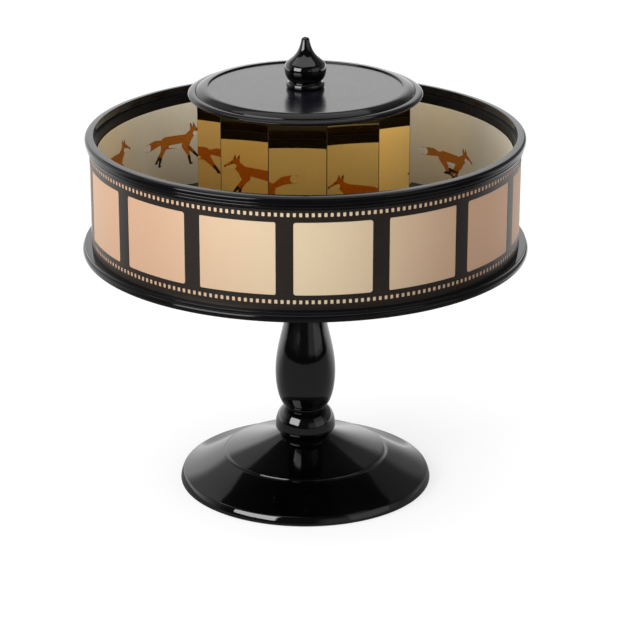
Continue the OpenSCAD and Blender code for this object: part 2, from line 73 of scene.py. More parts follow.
Object = bpy.types.Object
Socket = bpy.types.NodeSocket
Part = bmesh.types.BMVert | bmesh.types.BMEdge | bmesh.types.BMFace
Pair = tuple[float, float]
Triple = tuple[float, float, float]
Colour = Triple
Tones = tuple[Colour, Colour]
Point = Pair | Vector

UNIT: Pair = (0.0, 1.0)
WAVE: Pair = (-1.0, 1.0)
MIDDLE: Pair = (0.3, 0.7)
WHITE: Colour = (1.0, 1.0, 1.0)


class Body(Enum):
    """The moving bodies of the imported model."""

    STAND = "stand"
    DRUM = "drum"
    STRIP = "strip"


class Element(Enum):
    """What is picked in edit mode: named as a bmesh lists it, with the operators' word for it."""

    VERTS = "VERT"
    EDGES = "EDGE"
    FACES = "FACE"


@cache
def reach(node: str) -> float:
    """Largest radius of a turned CAD node, in millimetres."""
    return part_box(node)[1].x / MM


@cache
def low(node: str) -> float:
    """Height of a CAD node's lowest point, in millimetres."""
    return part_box(node)[0].z / MM


@cache
def high(node: str) -> float:
    """Height of a CAD node's highest point, in millimetres."""
    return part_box(node)[1].z / MM


def ray(degrees: float) -> Vector:
    """Flat unit vector at an angle in degrees from the first axis."""
    return Vector((math.cos(math.radians(degrees)), math.sin(math.radians(degrees))))


def around(turn: float, r: float, z: float) -> Vector:
    """A point at an angle from the front, in degrees towards +X, in metres from millimetres."""
    a = math.radians(turn)
    return Vector((r * math.sin(a), -r * math.cos(a), z)) * MM


def turn_of(point: Vector) -> float:
    """Angle of a point from the front, in degrees towards +X, from -180 to 180."""
    return math.degrees(math.atan2(point.x, -point.y))


def deselect_all() -> None:
    """Leave edit mode and deselect every object."""
    if bpy.context.object and bpy.context.object.mode != "OBJECT":
        bpy.ops.object.mode_set(mode="OBJECT")
    bpy.ops.object.select_all(action="DESELECT")


def make_active(*objects: Object) -> None:
    """Select some objects alone and make the first the active one.

    Args:
        objects: the objects to select.
    """
    deselect_all()
    for obj in objects:
        obj.select_set(True)
    bpy.context.view_layer.objects.active = objects[0]


def name_new(name: str) -> Object:
    """Name the object that an operator has just made, and its mesh.

    Args:
        name: the piece's name.

    Returns:
        The new object.
    """
    obj = bpy.context.object
    obj.name = name
    obj.data.name = name
    return obj


@contextmanager
def edit_mode(obj: Object, kind: Element = Element.VERTS) -> Iterator[None]:
    """Hold an object in edit mode with everything selected.

    Args:
        obj: the mesh object to edit.
        kind: the selection mode to start in.
    """
    make_active(obj)
    bpy.ops.object.mode_set(mode="EDIT")
    bpy.ops.mesh.select_mode(type=kind.value)
    bpy.ops.mesh.select_all(action="SELECT")
    yield
    bpy.ops.object.mode_set(mode="OBJECT")


def pick(obj: Object, kind: Element, test: Callable[[Vector, Part], bool]) -> None:
    """Select, in edit mode, the elements that pass a test.

    Args:
        obj: the object in edit mode.
        kind: vertices, edges or faces.
        test: told an element's middle in millimetres and the element, says whether to select it.
    """
    bpy.ops.mesh.select_mode(type=kind.value)
    bpy.ops.mesh.select_all(action="DESELECT")
    mesh = bmesh.from_edit_mesh(obj.data)
    for element in getattr(mesh, kind.name.lower()):
        corners = [element] if kind is Element.VERTS else element.verts
        middle = sum((vert.co for vert in corners), Vector()) / len(corners)
        if test(middle / MM, element):
            element.select_set(True)
    mesh.select_flush_mode()
    bmesh.update_edit_mesh(obj.data)


def give_second_material() -> None:
    """Give the faces that are selected in edit mode the active object's second material."""
    bpy.context.object.active_material_index = 1
    bpy.ops.object.material_slot_assign()


def close_shell() -> None:
    """Weld what is in edit mode and turn its normals outwards."""
    bpy.ops.mesh.select_all(action="SELECT")
    bpy.ops.mesh.remove_doubles(threshold=WELD)
    bpy.ops.mesh.normals_make_consistent(inside=False)


def smooth(obj: Object, angle: float = SMOOTH_ANGLE) -> None:
    """Shade an object smooth, keeping edges sharper than the angle."""
    make_active(obj)
    bpy.ops.object.shade_smooth_by_angle(angle=angle)


def apply_place(obj: Object) -> None:
    """Put an object's place, turn and scale into its mesh."""
    make_active(obj)
    bpy.ops.object.transform_apply(location=True, rotation=True, scale=True)


def apply_modifier(obj: Object, kind: str, **settings: object) -> None:
    """Add a modifier, set it and apply it.

    Args:
        obj: the object to change.
        kind: the modifier's type, such as SOLIDIFY.
        settings: the modifier's properties.
    """
    make_active(obj)
    modifier = obj.modifiers.new(kind.title(), kind)
    for key, value in settings.items():
        setattr(modifier, key, value)
    bpy.ops.object.modifier_apply(modifier=modifier.name)


def moved_copy(first: Object, name: str, move: Matrix) -> Object:
    """Copy an object with its mesh and move the copy's mesh.

    Args:
        first: the object to copy.
        name: the copy's name.
        move: what the mesh is moved by.

    Returns:
        The copy, in the scene.
    """
    copy = first.copy()
    copy.data = first.data.copy()
    copy.name = name
    copy.data.transform(move)
    bpy.context.scene.collection.objects.link(copy)
    return copy


def join(pieces: list[Object], name: str) -> Object:
    """Join objects into one and name it.

    Args:
        pieces: the objects to join.
        name: the joined piece's name.

    Returns:
        The joined piece.
    """
    make_active(*pieces)
    bpy.ops.object.join()
    return name_new(name)


@dataclass
class Outline:
    """Half outline of a turned piece: radius and height, point after point, in millimetres."""

    points: list[Point] = field(default_factory=list)

    def to(self, r: float, z: float) -> "Outline":
        """Go on to a point in a straight line."""
        self.points.append((r, z))
        return self

    def arc(self, centre: Point, rx: float, ry: float, a0: float, a1: float, steps: int = 16) -> "Outline":
        """Go on along an elliptical arc.

        Args:
            centre: radius and height of the arc's centre.
            rx: half width.
            ry: half height.
            a0: start angle in degrees.
            a1: end angle in degrees.
            steps: number of segments.

        Returns:
            The outline itself.
        """
        for i in range(steps + 1):
            a = math.radians(a0 + (a1 - a0) * i / steps)
            self.to(centre[0] + rx * math.cos(a), centre[1] + ry * math.sin(a))
        return self

    def curve(self, b: Point, c: Point, d: Point, steps: int = 28) -> "Outline":
        """Go on along a cubic curve from the last point.

        Args:
            b: first handle.
            c: second handle.
            d: end point.
            steps: number of segments.

        Returns:
            The outline itself.
        """
        corners = (self.points[-1], b, c, d)
        for i in range(1, steps + 1):
            t = i / steps
            s = 1 - t
            weights = (s**3, 3 * s * s * t, 3 * s * t * t, t**3)
            self.to(*(sum(w * corner[k] for w, corner in zip(weights, corners)) for k in (0, 1)))
        return self

    def sag(self, start: Vector, end: Vector, first: float, second: float) -> "Outline":
        """Go on to the end along a curve whose two handles hang below the line from start to end."""
        handles = (start.lerp(end, k / 3) - Vector((0, drop)) for k, drop in ((1, first), (2, second)))
        return self.curve(*handles, end)

    def reed(self, r: float, w: float, z0: float, z1: float) -> "Outline":
        """Go on round a half-round bead that stands out w to radius r, from z0 to z1, up or down."""
        return self.arc((r - w, (z0 + z1) / 2), w, (z1 - z0) / 2, -90, 90)

    def rectangle(self, r0: float, r1: float, z0: float, z1: float, ease: float) -> "Outline":
        """Draw a closed rectangle with eased corners.

        Args:
            r0: inner radius.
            r1: outer radius.
            z0: lower height.
            z1: upper height.
            ease: radius of the corners.

        Returns:
            The outline itself.
        """
        inner, outer, lower, upper = r0 + ease, r1 - ease, z0 + ease, z1 - ease
        for k, centre in enumerate(((outer, lower), (outer, upper), (inner, upper), (inner, lower))):
            self.arc(centre, ease, ease, 90 * (k - 1), 90 * k, EASE_STEPS)
        return self.close()

    def close(self) -> "Outline":
        """Go back to the first point."""
        return self.to(*self.points[0])

    def turned(self, name: str, steps: int = FINE_STEPS, start: float = 0.0, sweep: float = 360.0) -> Object:
        """Draw the outline by extruding one vertex, then spin it round the axis.

        Args:
            name: the piece's name.
            steps: number of segments round the axis.
            start: angle of the first outline from the front, in degrees.
            sweep: angle to spin through, in degrees.

        Returns:
            The turned piece.
        """
        deselect_all()
        bpy.ops.mesh.primitive_plane_add(size=MM)
        piece = name_new(name)
        with edit_mode(piece):
            bpy.ops.mesh.merge(type="CENTER")
            here = around(start, *self.points[0])
            bpy.ops.transform.translate(value=here)
            for r, z in self.points[1:]:
                step = around(start, r, z) - here
                if step.length > WELD:
                    bpy.ops.mesh.extrude_region_move(TRANSFORM_OT_translate={"value": step})
                    here += step
            bpy.ops.mesh.select_all(action="SELECT")
            bpy.ops.mesh.spin(steps=steps, angle=math.radians(sweep), center=(0, 0, 0), axis=(0, 0, 1))
            close_shell()
        smooth(piece)
        return piece


class Graph:
    """Node tree of a material or of the world, with short names for the nodes that the looks use."""

    def __init__(self, owner: bpy.types.ID) -> None:
        """Open the node tree of a material or a world.

        Args:
            owner: the material or the world.
        """
        owner.use_nodes = True
        self.tree = owner.node_tree
        self.places = self.node("ShaderNodeTexCoord").outputs
        self.place = self.places["Object"]

    def node(self, kind: str, inputs: dict[str | int, object] | None = None, **settings: object
             ) -> bpy.types.Node:
        """Add a node.

        Args:
            kind: the node's class.
            inputs: numbers, colours or outputs for its sockets, by name or index.
            settings: properties of the node.

        Returns:
            The new node.
        """
        node = self.tree.nodes.new(kind)
        for key, value in settings.items():
            setattr(node, key, value)
        for key, value in (inputs or {}).items():
            self.feed(node.inputs[key], value)
        return node

    def feed(self, socket: Socket, value: object) -> None:
        """Link an output to a socket, or set the socket's own value.

        Args:
            socket: the socket to feed.
            value: an output, a number, a vector or a colour.
        """
        if isinstance(value, Socket):
            self.tree.links.new(value, socket)
        else:
            socket.default_value = (*value, 1.0) if socket.type == "RGBA" else value

    def set(self, **sockets: object) -> None:
        """Feed the Principled shader's sockets.

        Args:
            sockets: values or outputs, by the sockets' names in lower case with underscores.
        """
        for key, value in sockets.items():
            name = key.replace("_", " ").title().replace("Ior", "IOR")
            self.feed(self.tree.nodes["Principled BSDF"].inputs[name], value)

    def coat(self, pattern: Socket, tones: Tones, rough: Pair, stops: Pair = (0.35, 0.65), **others: object
             ) -> None:
        """Colour and roughen the Principled shader by one pattern.

        Args:
            pattern: output from 0 to 1.
            tones: colours at the two stops.
            rough: roughness at the two ends of the pattern's middle.
            stops: where along the pattern the colours stand.
            others: further sockets of the shader.
        """
        colour = self.ramp(pattern, stops, tones)
        self.set(base_color=colour, roughness=self.span(pattern, MIDDLE, rough), **others)

    def math(self, operation: str, a: object, b: object = 0.0) -> Socket:
        """Result of a Math node on two numbers or outputs."""
        return self.node("ShaderNodeMath", {0: a, 1: b}, operation=operation).outputs[0]

    def times(self, a: object, b: object) -> Socket:
        """Product of two numbers or outputs."""
        return self.math("MULTIPLY", a, b)

    def split(self, vector: Socket) -> bpy.types.NodeOutputs:
        """X, Y and Z of a vector."""
        return self.node("ShaderNodeSeparateXYZ", {0: vector}).outputs

    def vector(self, x: object, y: object, z: object) -> Socket:
        """Vector of three numbers or outputs."""
        return self.node("ShaderNodeCombineXYZ", {0: x, 1: y, 2: z}).outputs[0]

    def polar(self) -> tuple[Socket, Socket, Socket]:
        """Find the shaded point about the axis.

        Returns:
            Its radius, its angle from the front in radians and its height.
        """
        x, y, z = self.split(self.place)
        radius = self.math("SQRT", self.math("ADD", self.times(x, x), self.times(y, y)))
        return radius, self.math("ARCTAN2", x, self.times(y, -1.0)), z

    def lathe(self, across: float, along: float) -> Socket:
        """Vector that varies fast across the lines of a lathe and slowly along them."""
        radius, angle, height = self.polar()
        return self.vector(self.times(radius, across), self.times(height, across), self.times(angle, along))

    def stretched(self, scale: Triple) -> Socket:
        """Object coordinates times a scale."""
        return self.node("ShaderNodeMapping", {"Vector": self.place, "Scale": scale}).outputs[0]

    def noise(self, scale: float, detail: float, rough: float = 0.5, vector: Socket | None = None) -> Socket:
        """Noise from 0 to 1, on object coordinates unless a vector is given."""
        inputs = {"Vector": vector or self.place, "Scale": scale, "Detail": detail, "Roughness": rough}
        return self.node("ShaderNodeTexNoise", inputs).outputs["Fac"]

    def span(self, value: object, before: Pair, after: Pair, way: str = "LINEAR") -> Socket:
        """Map one range of numbers on another, clamped."""
        inputs = dict(enumerate((value, *before, *after)))
        return self.node("ShaderNodeMapRange", inputs, interpolation_type=way).outputs[0]

    def slope(self, value: object, before: Pair, after: Pair = UNIT) -> Socket:
        """Map one range of numbers smoothly on another."""
        return self.span(value, before, after, "SMOOTHSTEP")

    def ramp(self, value: object, stops: Pair, tones: Tones) -> Socket:
        """Colour along a ramp of two stops.

        Args:
            value: number or output along the ramp.
            stops: where the two colours stand.
            tones: the two colours.

        Returns:
            The colour.
        """
        node = self.node("ShaderNodeValToRGB", {0: value})
        for element, place, tone in zip(node.color_ramp.elements, stops, tones):
            element.position = place
            element.color = (*tone, 1.0)
        return node.outputs[0]

    def blend(self, share: object, a: object, b: object) -> Socket:
        """Blend of two numbers or outputs, b at a share of 1."""
        return self.node("ShaderNodeMix", {0: share, 2: a, 3: b}).outputs[0]

    def mix(self, share: object, a: object, b: object, way: str = "MIX") -> Socket:
        """Mix of two colours, b at a share of 1, or the result of the Mix node's other ways."""
        node = self.node("ShaderNodeMix", {0: share, 6: a, 7: b}, data_type="RGBA", blend_type=way)
        return node.outputs[2]

    def bump(self, height: object, strength: float, distance: float) -> Socket:
        """Normal of a bump with the given distance in metres."""
        inputs = {"Strength": strength, "Distance": distance, "Height": height}
        return self.node("ShaderNodeBump", inputs).outputs[0]


class Finish(ABC):
    """A surface finish that is made into a material once and then shared.

    A finish has the name of its material and the record's material slot that it belongs to.
    """

    made: dict[str, bpy.types.Material] = {}
    name: str
    slot: str

    @abstractmethod
    def dress(self, graph: Graph) -> None:
        """Build the finish's nodes.

        Args:
            graph: the material's node tree.
        """

    def material(self) -> bpy.types.Material:
        """Make the finish's material at the first call.

        Returns:
            The shared material.
        """
        if self.name not in Finish.made:
            Finish.made[self.name] = bpy.data.materials.new(self.name)
            self.dress(Graph(Finish.made[self.name]))
        return Finish.made[self.name]


@dataclass(frozen=True)
class GlossLacquer(Finish):
    """Polished black lacquer on turned wood, with a faint orange peel and a few specks of dust."""

    name: str = "gloss_lacquer"
    slot: str = "gloss_lacquer"
    tones: Tones = ((0.0004, 0.0004, 0.0005), (0.0014, 0.0014, 0.0016))
    stops: Pair = (0.35, 0.7)
    rough: Pair = (0.05, 0.10)
    ior: float = 1.72
    specked: Pair = (0.76, 0.82)
    dust: float = 0.01

    def dress(self, graph: Graph) -> None:
        """Build the lacquer's nodes.

        Args:
            graph: the material's node tree.
        """
        cloud = graph.noise(scale=35.0, detail=4.0)
        specks = graph.span(graph.noise(scale=2600.0, detail=1.0), self.specked, (0.0, self.dust))
        dusty = graph.mix(1.0, graph.ramp(cloud, self.stops, self.tones), specks, "ADD")
        peel = graph.noise(scale=420.0, detail=2.0)
        graph.set(base_color=dusty, roughness=graph.span(cloud, MIDDLE, self.rough), ior=self.ior,
                  normal=graph.bump(peel, strength=0.05, distance=0.0004))


@dataclass(frozen=True)
class SatinLacquer(Finish):
    """Satin black lacquer with the fine streaks of the lathe."""

    name: str = "satin_lacquer"
    slot: str = "satin_lacquer"
    tones: Tones = ((0.0020, 0.0020, 0.0025), (0.0048, 0.0048, 0.0058))
    stops: Pair = (0.35, 0.68)
    rough: Pair = (0.07, 0.12)
    level: float = 0.31
    cloudy: float = 0.3

    def dress(self, graph: Graph) -> None:
        """Build the lacquer's nodes.

        Args:
            graph: the material's node tree.
        """
        streak = graph.noise(scale=1.0, detail=3.0, rough=0.6, vector=graph.lathe(across=900.0, along=1.3))
        pattern = graph.blend(self.cloudy, streak, graph.noise(scale=60.0, detail=4.0))
        graph.coat(pattern, self.tones, self.rough, self.stops, specular_ior_level=self.level,
                   normal=graph.bump(streak, strength=0.03, distance=0.0003))


@dataclass(frozen=True)
class FilmPrint(Finish):
    """Brown-black print on a satin film, a little rubbed along its length."""

    name: str = "film_print"
    slot: str = "film_print"
    tones: Tones = ((0.0120, 0.0082, 0.0060), (0.0195, 0.0140, 0.0108))
    stops: Pair = (0.35, 0.68)
    rough: Pair = (0.34, 0.5)
    facing: Colour = (1.0, 0.92, 0.86)
    rub_round: float = 14.0
    rub_up: float = 1400.0
    grainy: float = 0.4

    def dress(self, graph: Graph) -> None:
        """Build the print's nodes.

        Args:
            graph: the material's node tree.
        """
        _, angle, height = graph.polar()
        along = graph.vector(graph.times(angle, self.rub_round), graph.times(height, self.rub_up), 0.0)
        rub = graph.noise(scale=1.0, detail=4.0, rough=0.6, vector=along)
        grain = graph.noise(scale=2200.0, detail=2.0)
        pattern = graph.blend(self.grainy, rub, grain)
        graph.coat(pattern, self.tones, self.rough, self.stops, specular_tint=self.facing,
                   normal=graph.bump(grain, strength=0.04, distance=0.0001))


@dataclass(frozen=True)
class ChampagneFoil(Finish):
    """Metallic foil with fine flakes, with painted sheen and shade: pale champagne at three peaks round the
    drum, darker rose tan between.
    """

    name: str = "champagne_foil"
    slot: str = "champagne_foil"
    tones: Tones = ((0.63, 0.39, 0.25), (0.77, 0.61, 0.405))
    stops: Pair = (0.05, 0.95)
    flake: Colour = (0.93, 0.93, 0.93)
    rough: Pair = (0.50, 0.58)
    metallic: float = 0.15
    waves: float = 3.0
    middle: float = 0.05
    sharp: float = 1.5
    uneven: float = 0.1

    def dress(self, graph: Graph) -> None:
        """Build the foil's nodes.

        Args:
            graph: the material's node tree.
        """
        _, angle, _ = graph.polar()
        # Painted sheen and shade: colour by angle round the drum, champagne where the light's sheen falls,
        # rose tan where it fades
        wave = graph.math("COSINE", graph.times(graph.math("SUBTRACT", angle, self.middle), self.waves))
        painted_sheen = graph.math("POWER", graph.span(wave, WAVE, UNIT), self.sharp)
        share = graph.blend(self.uneven, painted_sheen, graph.noise(scale=14.0, detail=2.0))
        tone = graph.ramp(share, self.stops, self.tones)
        flakes = graph.noise(scale=3000.0, detail=2.0)
        flaked = graph.mix(1.0, tone, graph.ramp(flakes, MIDDLE, (self.flake, WHITE)), "MULTIPLY")
        ripple = graph.noise(scale=90.0, detail=3.0)
        graph.set(base_color=flaked, metallic=self.metallic,
                  roughness=graph.span(flakes, MIDDLE, self.rough),
                  normal=graph.bump(ripple, strength=0.02, distance=0.0004))


@dataclass(frozen=True)
class AmberMirror(Finish):
    """Amber mirror glass with the faintest smears."""

    name: str = "amber_mirror"
    slot: str = "amber_mirror"
    tones: Tones = ((0.93, 0.64, 0.22), (0.89, 0.61, 0.21))
    stops: Pair = (0.4, 0.75)
    rough: Pair = (0.012, 0.05)
    smeared: Pair = (0.45, 0.8)
    stretch: Triple = (1.0, 1.0, 0.35)

    def dress(self, graph: Graph) -> None:
        """Build the mirror's nodes.

        Args:
            graph: the material's node tree.
        """
        smear = graph.noise(scale=45.0, detail=4.0, rough=0.6, vector=graph.stretched(self.stretch))
        graph.set(base_color=graph.ramp(smear, self.stops, self.tones), metallic=1.0,
                  roughness=graph.span(smear, self.smeared, self.rough))


@dataclass(frozen=True)
class StripPaper(Finish):
    """Cream card with fibres and a soft surface, with slow warm bands round the strip painted in as light
    thrown back by the amber mirrors.
    """

    name: str = "strip_paper"
    slot: str = "strip_paper"
    tones: Tones = ((0.69, 0.62, 0.48), (0.78, 0.73, 0.59))
    stops: Pair = (0.35, 0.65)
    # Colour of the painted light from the amber mirrors
    painted_mirror_glow: Colour = (0.88, 0.71, 0.43)
    rough: Pair = (0.62, 0.8)
    level: float = 0.3
    cloudy: float = 0.55
    waves: float = 6.0
    turn: float = 119.0
    painted_glow_range: Pair = (-0.3, 1.0)
    painted_glow_share: float = 0.6

    def dress(self, graph: Graph) -> None:
        """Build the paper's nodes.

        Args:
            graph: the material's node tree.
        """
        fibre = graph.noise(scale=900.0, detail=5.0, rough=0.65)
        both = graph.blend(self.cloudy, fibre, graph.noise(scale=22.0, detail=3.0))
        plain = graph.ramp(both, self.stops, self.tones)
        # Painted light: warm bands by angle round the strip stand for the light that the amber mirrors throw
        # onto the card
        _, angle, _ = graph.polar()
        turned = graph.math("ADD", angle, math.radians(self.turn))
        wave = graph.math("SINE", graph.times(turned, self.waves))
        paper_with_painted_glow = graph.mix(graph.span(wave, self.painted_glow_range, (0.0, self.painted_glow_share)), plain, self.painted_mirror_glow)
        graph.set(base_color=paper_with_painted_glow, roughness=graph.span(fibre, MIDDLE, self.rough),
                  normal=graph.bump(fibre, strength=0.08, distance=0.0001), specular_ior_level=self.level)


@dataclass(frozen=True)
class GroundEdge(Finish):
    """Ground edge of the mirror glass, dark amber."""

    name: str = "ground_edge"
    slot: str = "amber_mirror"
    tones: Tones = ((0.020, 0.011, 0.003), (0.055, 0.033, 0.012))
    rough: Pair = (0.35, 0.55)

    def dress(self, graph: Graph) -> None:
        """Build the edge's nodes."""
        graph.coat(graph.noise(scale=1800.0, detail=3.0), self.tones, self.rough)


class Ink(Enum):
    """Printing inks of the running foxes: a dark and a light tone of each."""

    ORANGE = ((0.42, 0.11, 0.008), (0.60, 0.20, 0.018))
    SHADE = ((0.26, 0.062, 0.006), (0.36, 0.10, 0.010))
    WHITE = ((0.74, 0.68, 0.56), (0.86, 0.82, 0.72))
    BLACK = ((0.010, 0.008, 0.007), (0.026, 0.020, 0.016))


@dataclass(frozen=True)
class PrintInk(Finish):
    """Ink on the card, uneven as a print is."""

    ink: Ink = Ink.ORANGE
    slot: str = "strip_paper"
    rough: Pair = (0.5, 0.65)
    level: float = 0.3
    stretch: Triple = (1.0, 1.0, 3.0)

    @property
    def name(self) -> str:
        """Name of the material."""
        return f"fox_{self.ink.name.lower()}"

    def dress(self, graph: Graph) -> None:
        """Build the ink's nodes."""
        fur = graph.noise(scale=650.0, detail=4.0, rough=0.6, vector=graph.stretched(self.stretch))
        graph.coat(fur, self.ink.value, self.rough, specular_ior_level=self.level)


@dataclass(frozen=True)
class TurnedMetal(Finish):
    """Machined metal with the rings of the tool."""

    name: str
    slot: str
    tones: Tones
    rough: Pair = (0.22, 0.36)
    spotty: float = 0.4

    def dress(self, graph: Graph) -> None:
        """Build the metal's nodes.

        Args:
            graph: the material's node tree.
        """
        rings = graph.noise(scale=1.0, detail=3.0, rough=0.6, vector=graph.lathe(across=2500.0, along=1.0))
        pattern = graph.blend(self.spotty, rings, graph.noise(scale=300.0, detail=4.0))
        graph.coat(pattern, self.tones, self.rough, metallic=1.0,
                   normal=graph.bump(rings, strength=0.1, distance=0.0001))


@dataclass(frozen=True)
class RawWood(Finish):
    """Plain turned beech with a straight grain."""

    name: str = "raw_wood"
    slot: str = "raw_wood"
    tones: Tones = ((0.34, 0.21, 0.11), (0.50, 0.34, 0.20))
    rough: Pair = (0.55, 0.7)
    stretch: Triple = (1.0, 0.08, 1.0)

    def dress(self, graph: Graph) -> None:
        """Build the wood's nodes."""
        grain = graph.noise(scale=240.0, detail=5.0, rough=0.65, vector=graph.stretched(self.stretch))
        graph.coat(grain, self.tones, self.rough, normal=graph.bump(grain, strength=0.15, distance=0.0002))


@dataclass(frozen=True)
class WoolFelt(Finish):
    """Dark green-grey felt."""

    name: str = "felt"
    slot: str = "felt"
    tones: Tones = ((0.016, 0.022, 0.019), (0.05, 0.062, 0.055))
    stops: Pair = (0.35, 0.68)
    rough: float = 0.95
    sheen: float = 0.3

    def dress(self, graph: Graph) -> None:
        """Build the felt's nodes.

        Args:
            graph: the material's node tree.
        """
        fibre = graph.noise(scale=1400.0, detail=6.0, rough=0.7)
        graph.set(base_color=graph.ramp(fibre, self.stops, self.tones), roughness=self.rough,
                  normal=graph.bump(fibre, strength=0.4, distance=0.0004), sheen_weight=self.sheen)


GLOSS = GlossLacquer()
SATIN = SatinLacquer()
CAP_SATIN = SatinLacquer("cap_lacquer", tones=((0.0036, 0.0031, 0.0062), (0.0062, 0.0054, 0.0095)),
                         rough=(0.17, 0.23), level=0.5)
HOOP_SATIN = SatinLacquer("hoop_lacquer", rough=(0.36, 0.46), level=0.16)
STEEL = TurnedMetal("steel", "steel", ((0.42, 0.43, 0.45), (0.62, 0.63, 0.65)))
BRASS = TurnedMetal("brass", "brass", ((0.55, 0.38, 0.14), (0.74, 0.55, 0.24)))


def finish_piece(piece: Object, body: Body, finish: Finish, *nodes: str) -> None:
    """Dress a new piece, let it ride on its body and stand for CAD nodes.

    Args:
        piece: the finished mesh.
        body: the body it moves with.
        finish: the finish of its surface, unless its mesh has materials.
        nodes: the CAD nodes that it stands for.
    """
    if not piece.data.materials:
        piece.data.materials.append(finish.material())
    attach(piece, body.value)
    if nodes:
        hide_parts(*nodes)
    log.info("%s: %d faces on %s", piece.name, len(piece.data.polygons), body.value)


def dress_nodes(finish: Finish, *nodes: str) -> None:
    """Give CAD nodes that stay their finish.

    Args:
        finish: the finish of their surface.
        nodes: the nodes' names.
    """
    for node in nodes:
        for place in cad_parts[node].material_slots:
            place.material = finish.material()
        log.info("%s: kept from the frame, %s", node, finish.name)


@dataclass
class Pedestal:
    """Foot and stem on which the drum turns."""

    edge_h: float = 5.2
    edge_lean: float = 1.4
    edge_round: float = 2.2
    foot_round: float = 0.7
    edge_steps: int = 12
    proud: float = 0.3
    step_r: float = 52.3
    step_z: float = 20.0
    step_h: float = 1.4
    step_sweep: float = 70.0
    slope_sag: float = 0.9
    slope_swell: float = 0.3
    cone_sag: float = 1.2
    seat_r: float = 16.0
    tenon_r: float = 8.0
    tenon_l: float = 14.0
    stem_r: float = 19.5
    neck_r: float = 13.0
    curl: float = 1.3
    bead_h: float = 18.1
    bead_rise: float = 13.6
    bead_steps: int = 30
    tuck: float = 58.0
    tuck_steps: int = 20
    belly_rise: float = 24.7
    belly_steps: int = 36
    waist_r: float = 11.7
    waist_drop: float = 28.2
    waist_steps: int = 40
    collar_r: float = 17.0
    collar_h: float = 5.0
    felt_t: float = 1.5
    felt_ease: float = 0.4
    pocket_r: float = 11.0
    pocket_z: float = 9.5
    bolt_hole_r: float = 3.2
    insert_r: float = 4.85
    insert_l: float = 18.0
    spindle_hole_r: float = 4.05
    spindle_sunk: float = 40.0
    fit: float = 0.05

    def base(self) -> None:
        """Model and dress the turned foot: leaning edge, slope, step, cone and seat."""
        rim, top = reach("base"), high("base")
        edge = Vector((rim - self.edge_lean, self.proud + self.edge_h))
        foot = Vector((rim - self.foot_round, self.proud + self.foot_round))
        step = Vector((self.step_r + self.step_h, self.step_z - self.step_h))
        slope = math.degrees(math.atan2(step.y - edge.y, edge.x - step.x))
        lean = math.degrees(math.atan2(self.edge_lean, edge.y - foot.y))
        low_a, high_a = lean / 2, 1.5 * lean
        bow = (edge.y - foot.y) / 3
        edge_low = foot + self.foot_round * ray(low_a)
        turn = edge - self.edge_round * ray(high_a)
        brow = turn + self.edge_round * ray(90 - slope)
        felt_r = reach("felt_pad") + self.fit
        tenon_r, tenon_z = self.tenon_r + self.fit, top - self.tenon_l - self.fit
        line = Outline().to(self.bolt_hole_r, self.pocket_z).to(self.pocket_r, self.pocket_z)
        line.to(self.pocket_r, self.felt_t).to(felt_r, self.felt_t).to(felt_r, self.proud)
        line.arc(foot, self.foot_round, self.foot_round, -90, low_a, ROUND_STEPS)
        line.curve(edge_low + bow * ray(low_a + 90), edge - bow * ray(high_a + 90), edge, self.edge_steps)
        line.arc(turn, self.edge_round, self.edge_round, high_a, 90 - slope, self.edge_steps)
        line.sag(brow, step, self.slope_sag, -self.slope_swell)
        line.arc((self.step_r - self.step_h, step.y), self.step_h, self.step_h, 0, self.step_sweep,
                 ROUND_STEPS)
        line.sag(Vector((self.step_r, self.step_z)), Vector((self.seat_r, top)),
                 self.cone_sag / 2, self.cone_sag)
        line.to(tenon_r, top).to(tenon_r, tenon_z).to(self.bolt_hole_r, tenon_z).close()
        finish_piece(line.turned("turned_base"), Body.STAND, GLOSS, "base")

    def stem(self) -> None:
        """Model and dress the turned stem with its bead, belly, waist and collar."""
        foot, top = high("base"), high("stem")
        neck_z = foot + self.bead_h
        bead_z = neck_z - self.bead_rise
        belly_z = neck_z + self.belly_rise
        waist_z = top - self.waist_drop
        centre = self.neck_r - self.curl
        swell = self.stem_r - centre
        curl = math.degrees(math.acos(self.curl / swell))
        tuck_h = (bead_z - foot) / math.sin(math.radians(self.tuck))
        collar_z = top - self.collar_h
        collar_w = self.collar_h / 2
        tenon_z = foot - self.tenon_l
        insert_z = tenon_z + self.insert_l
        sunk_z = top - self.spindle_sunk
        line = Outline().to(0, insert_z).to(self.insert_r, insert_z).to(self.insert_r, tenon_z)
        line.to(self.tenon_r, tenon_z).to(self.tenon_r, foot)
        line.arc((centre, bead_z), swell, tuck_h, -self.tuck, 0, self.tuck_steps)
        line.arc((centre, bead_z), swell, self.bead_rise, curl / self.bead_steps, curl, self.bead_steps - 1)
        line.arc((centre, belly_z), swell, self.belly_rise, -curl, 0, self.belly_steps)
        for i in range(1, self.waist_steps + 1):
            t = i / self.waist_steps
            in_share = (1 - math.cos(math.pi * t)) / 2
            line.to(self.stem_r + (self.waist_r - self.stem_r) * in_share, belly_z + (waist_z - belly_z) * t)
        line.curve((self.waist_r, (waist_z + collar_z) / 2),
                   (self.collar_r - 2 * collar_w, collar_z - collar_w), (self.collar_r - collar_w, collar_z))
        line.reed(self.collar_r, collar_w, collar_z, top)
        line.to(self.spindle_hole_r, top).to(self.spindle_hole_r, sunk_z).to(0, sunk_z)
        finish_piece(line.turned("turned_stem", SMALL_STEPS), Body.STAND, GLOSS, "stem")

    def felt(self) -> None:
        """Model and dress the felt disc under the foot, its edges a little rounded."""
        line = Outline().rectangle(self.pocket_r, reach("felt_pad"), 0, self.felt_t, self.felt_ease)
        felt = line.turned("felt_disc")
        finish_piece(felt, Body.STAND, WoolFelt(), "felt_pad")

    def build(self) -> None:
        """Build the pedestal, with the bolt and its insert as the frame has them."""
        self.base()
        self.stem()
        self.felt()
        dress_nodes(STEEL, "base_bolt", "base_washer")
        dress_nodes(BRASS, "stem_insert")


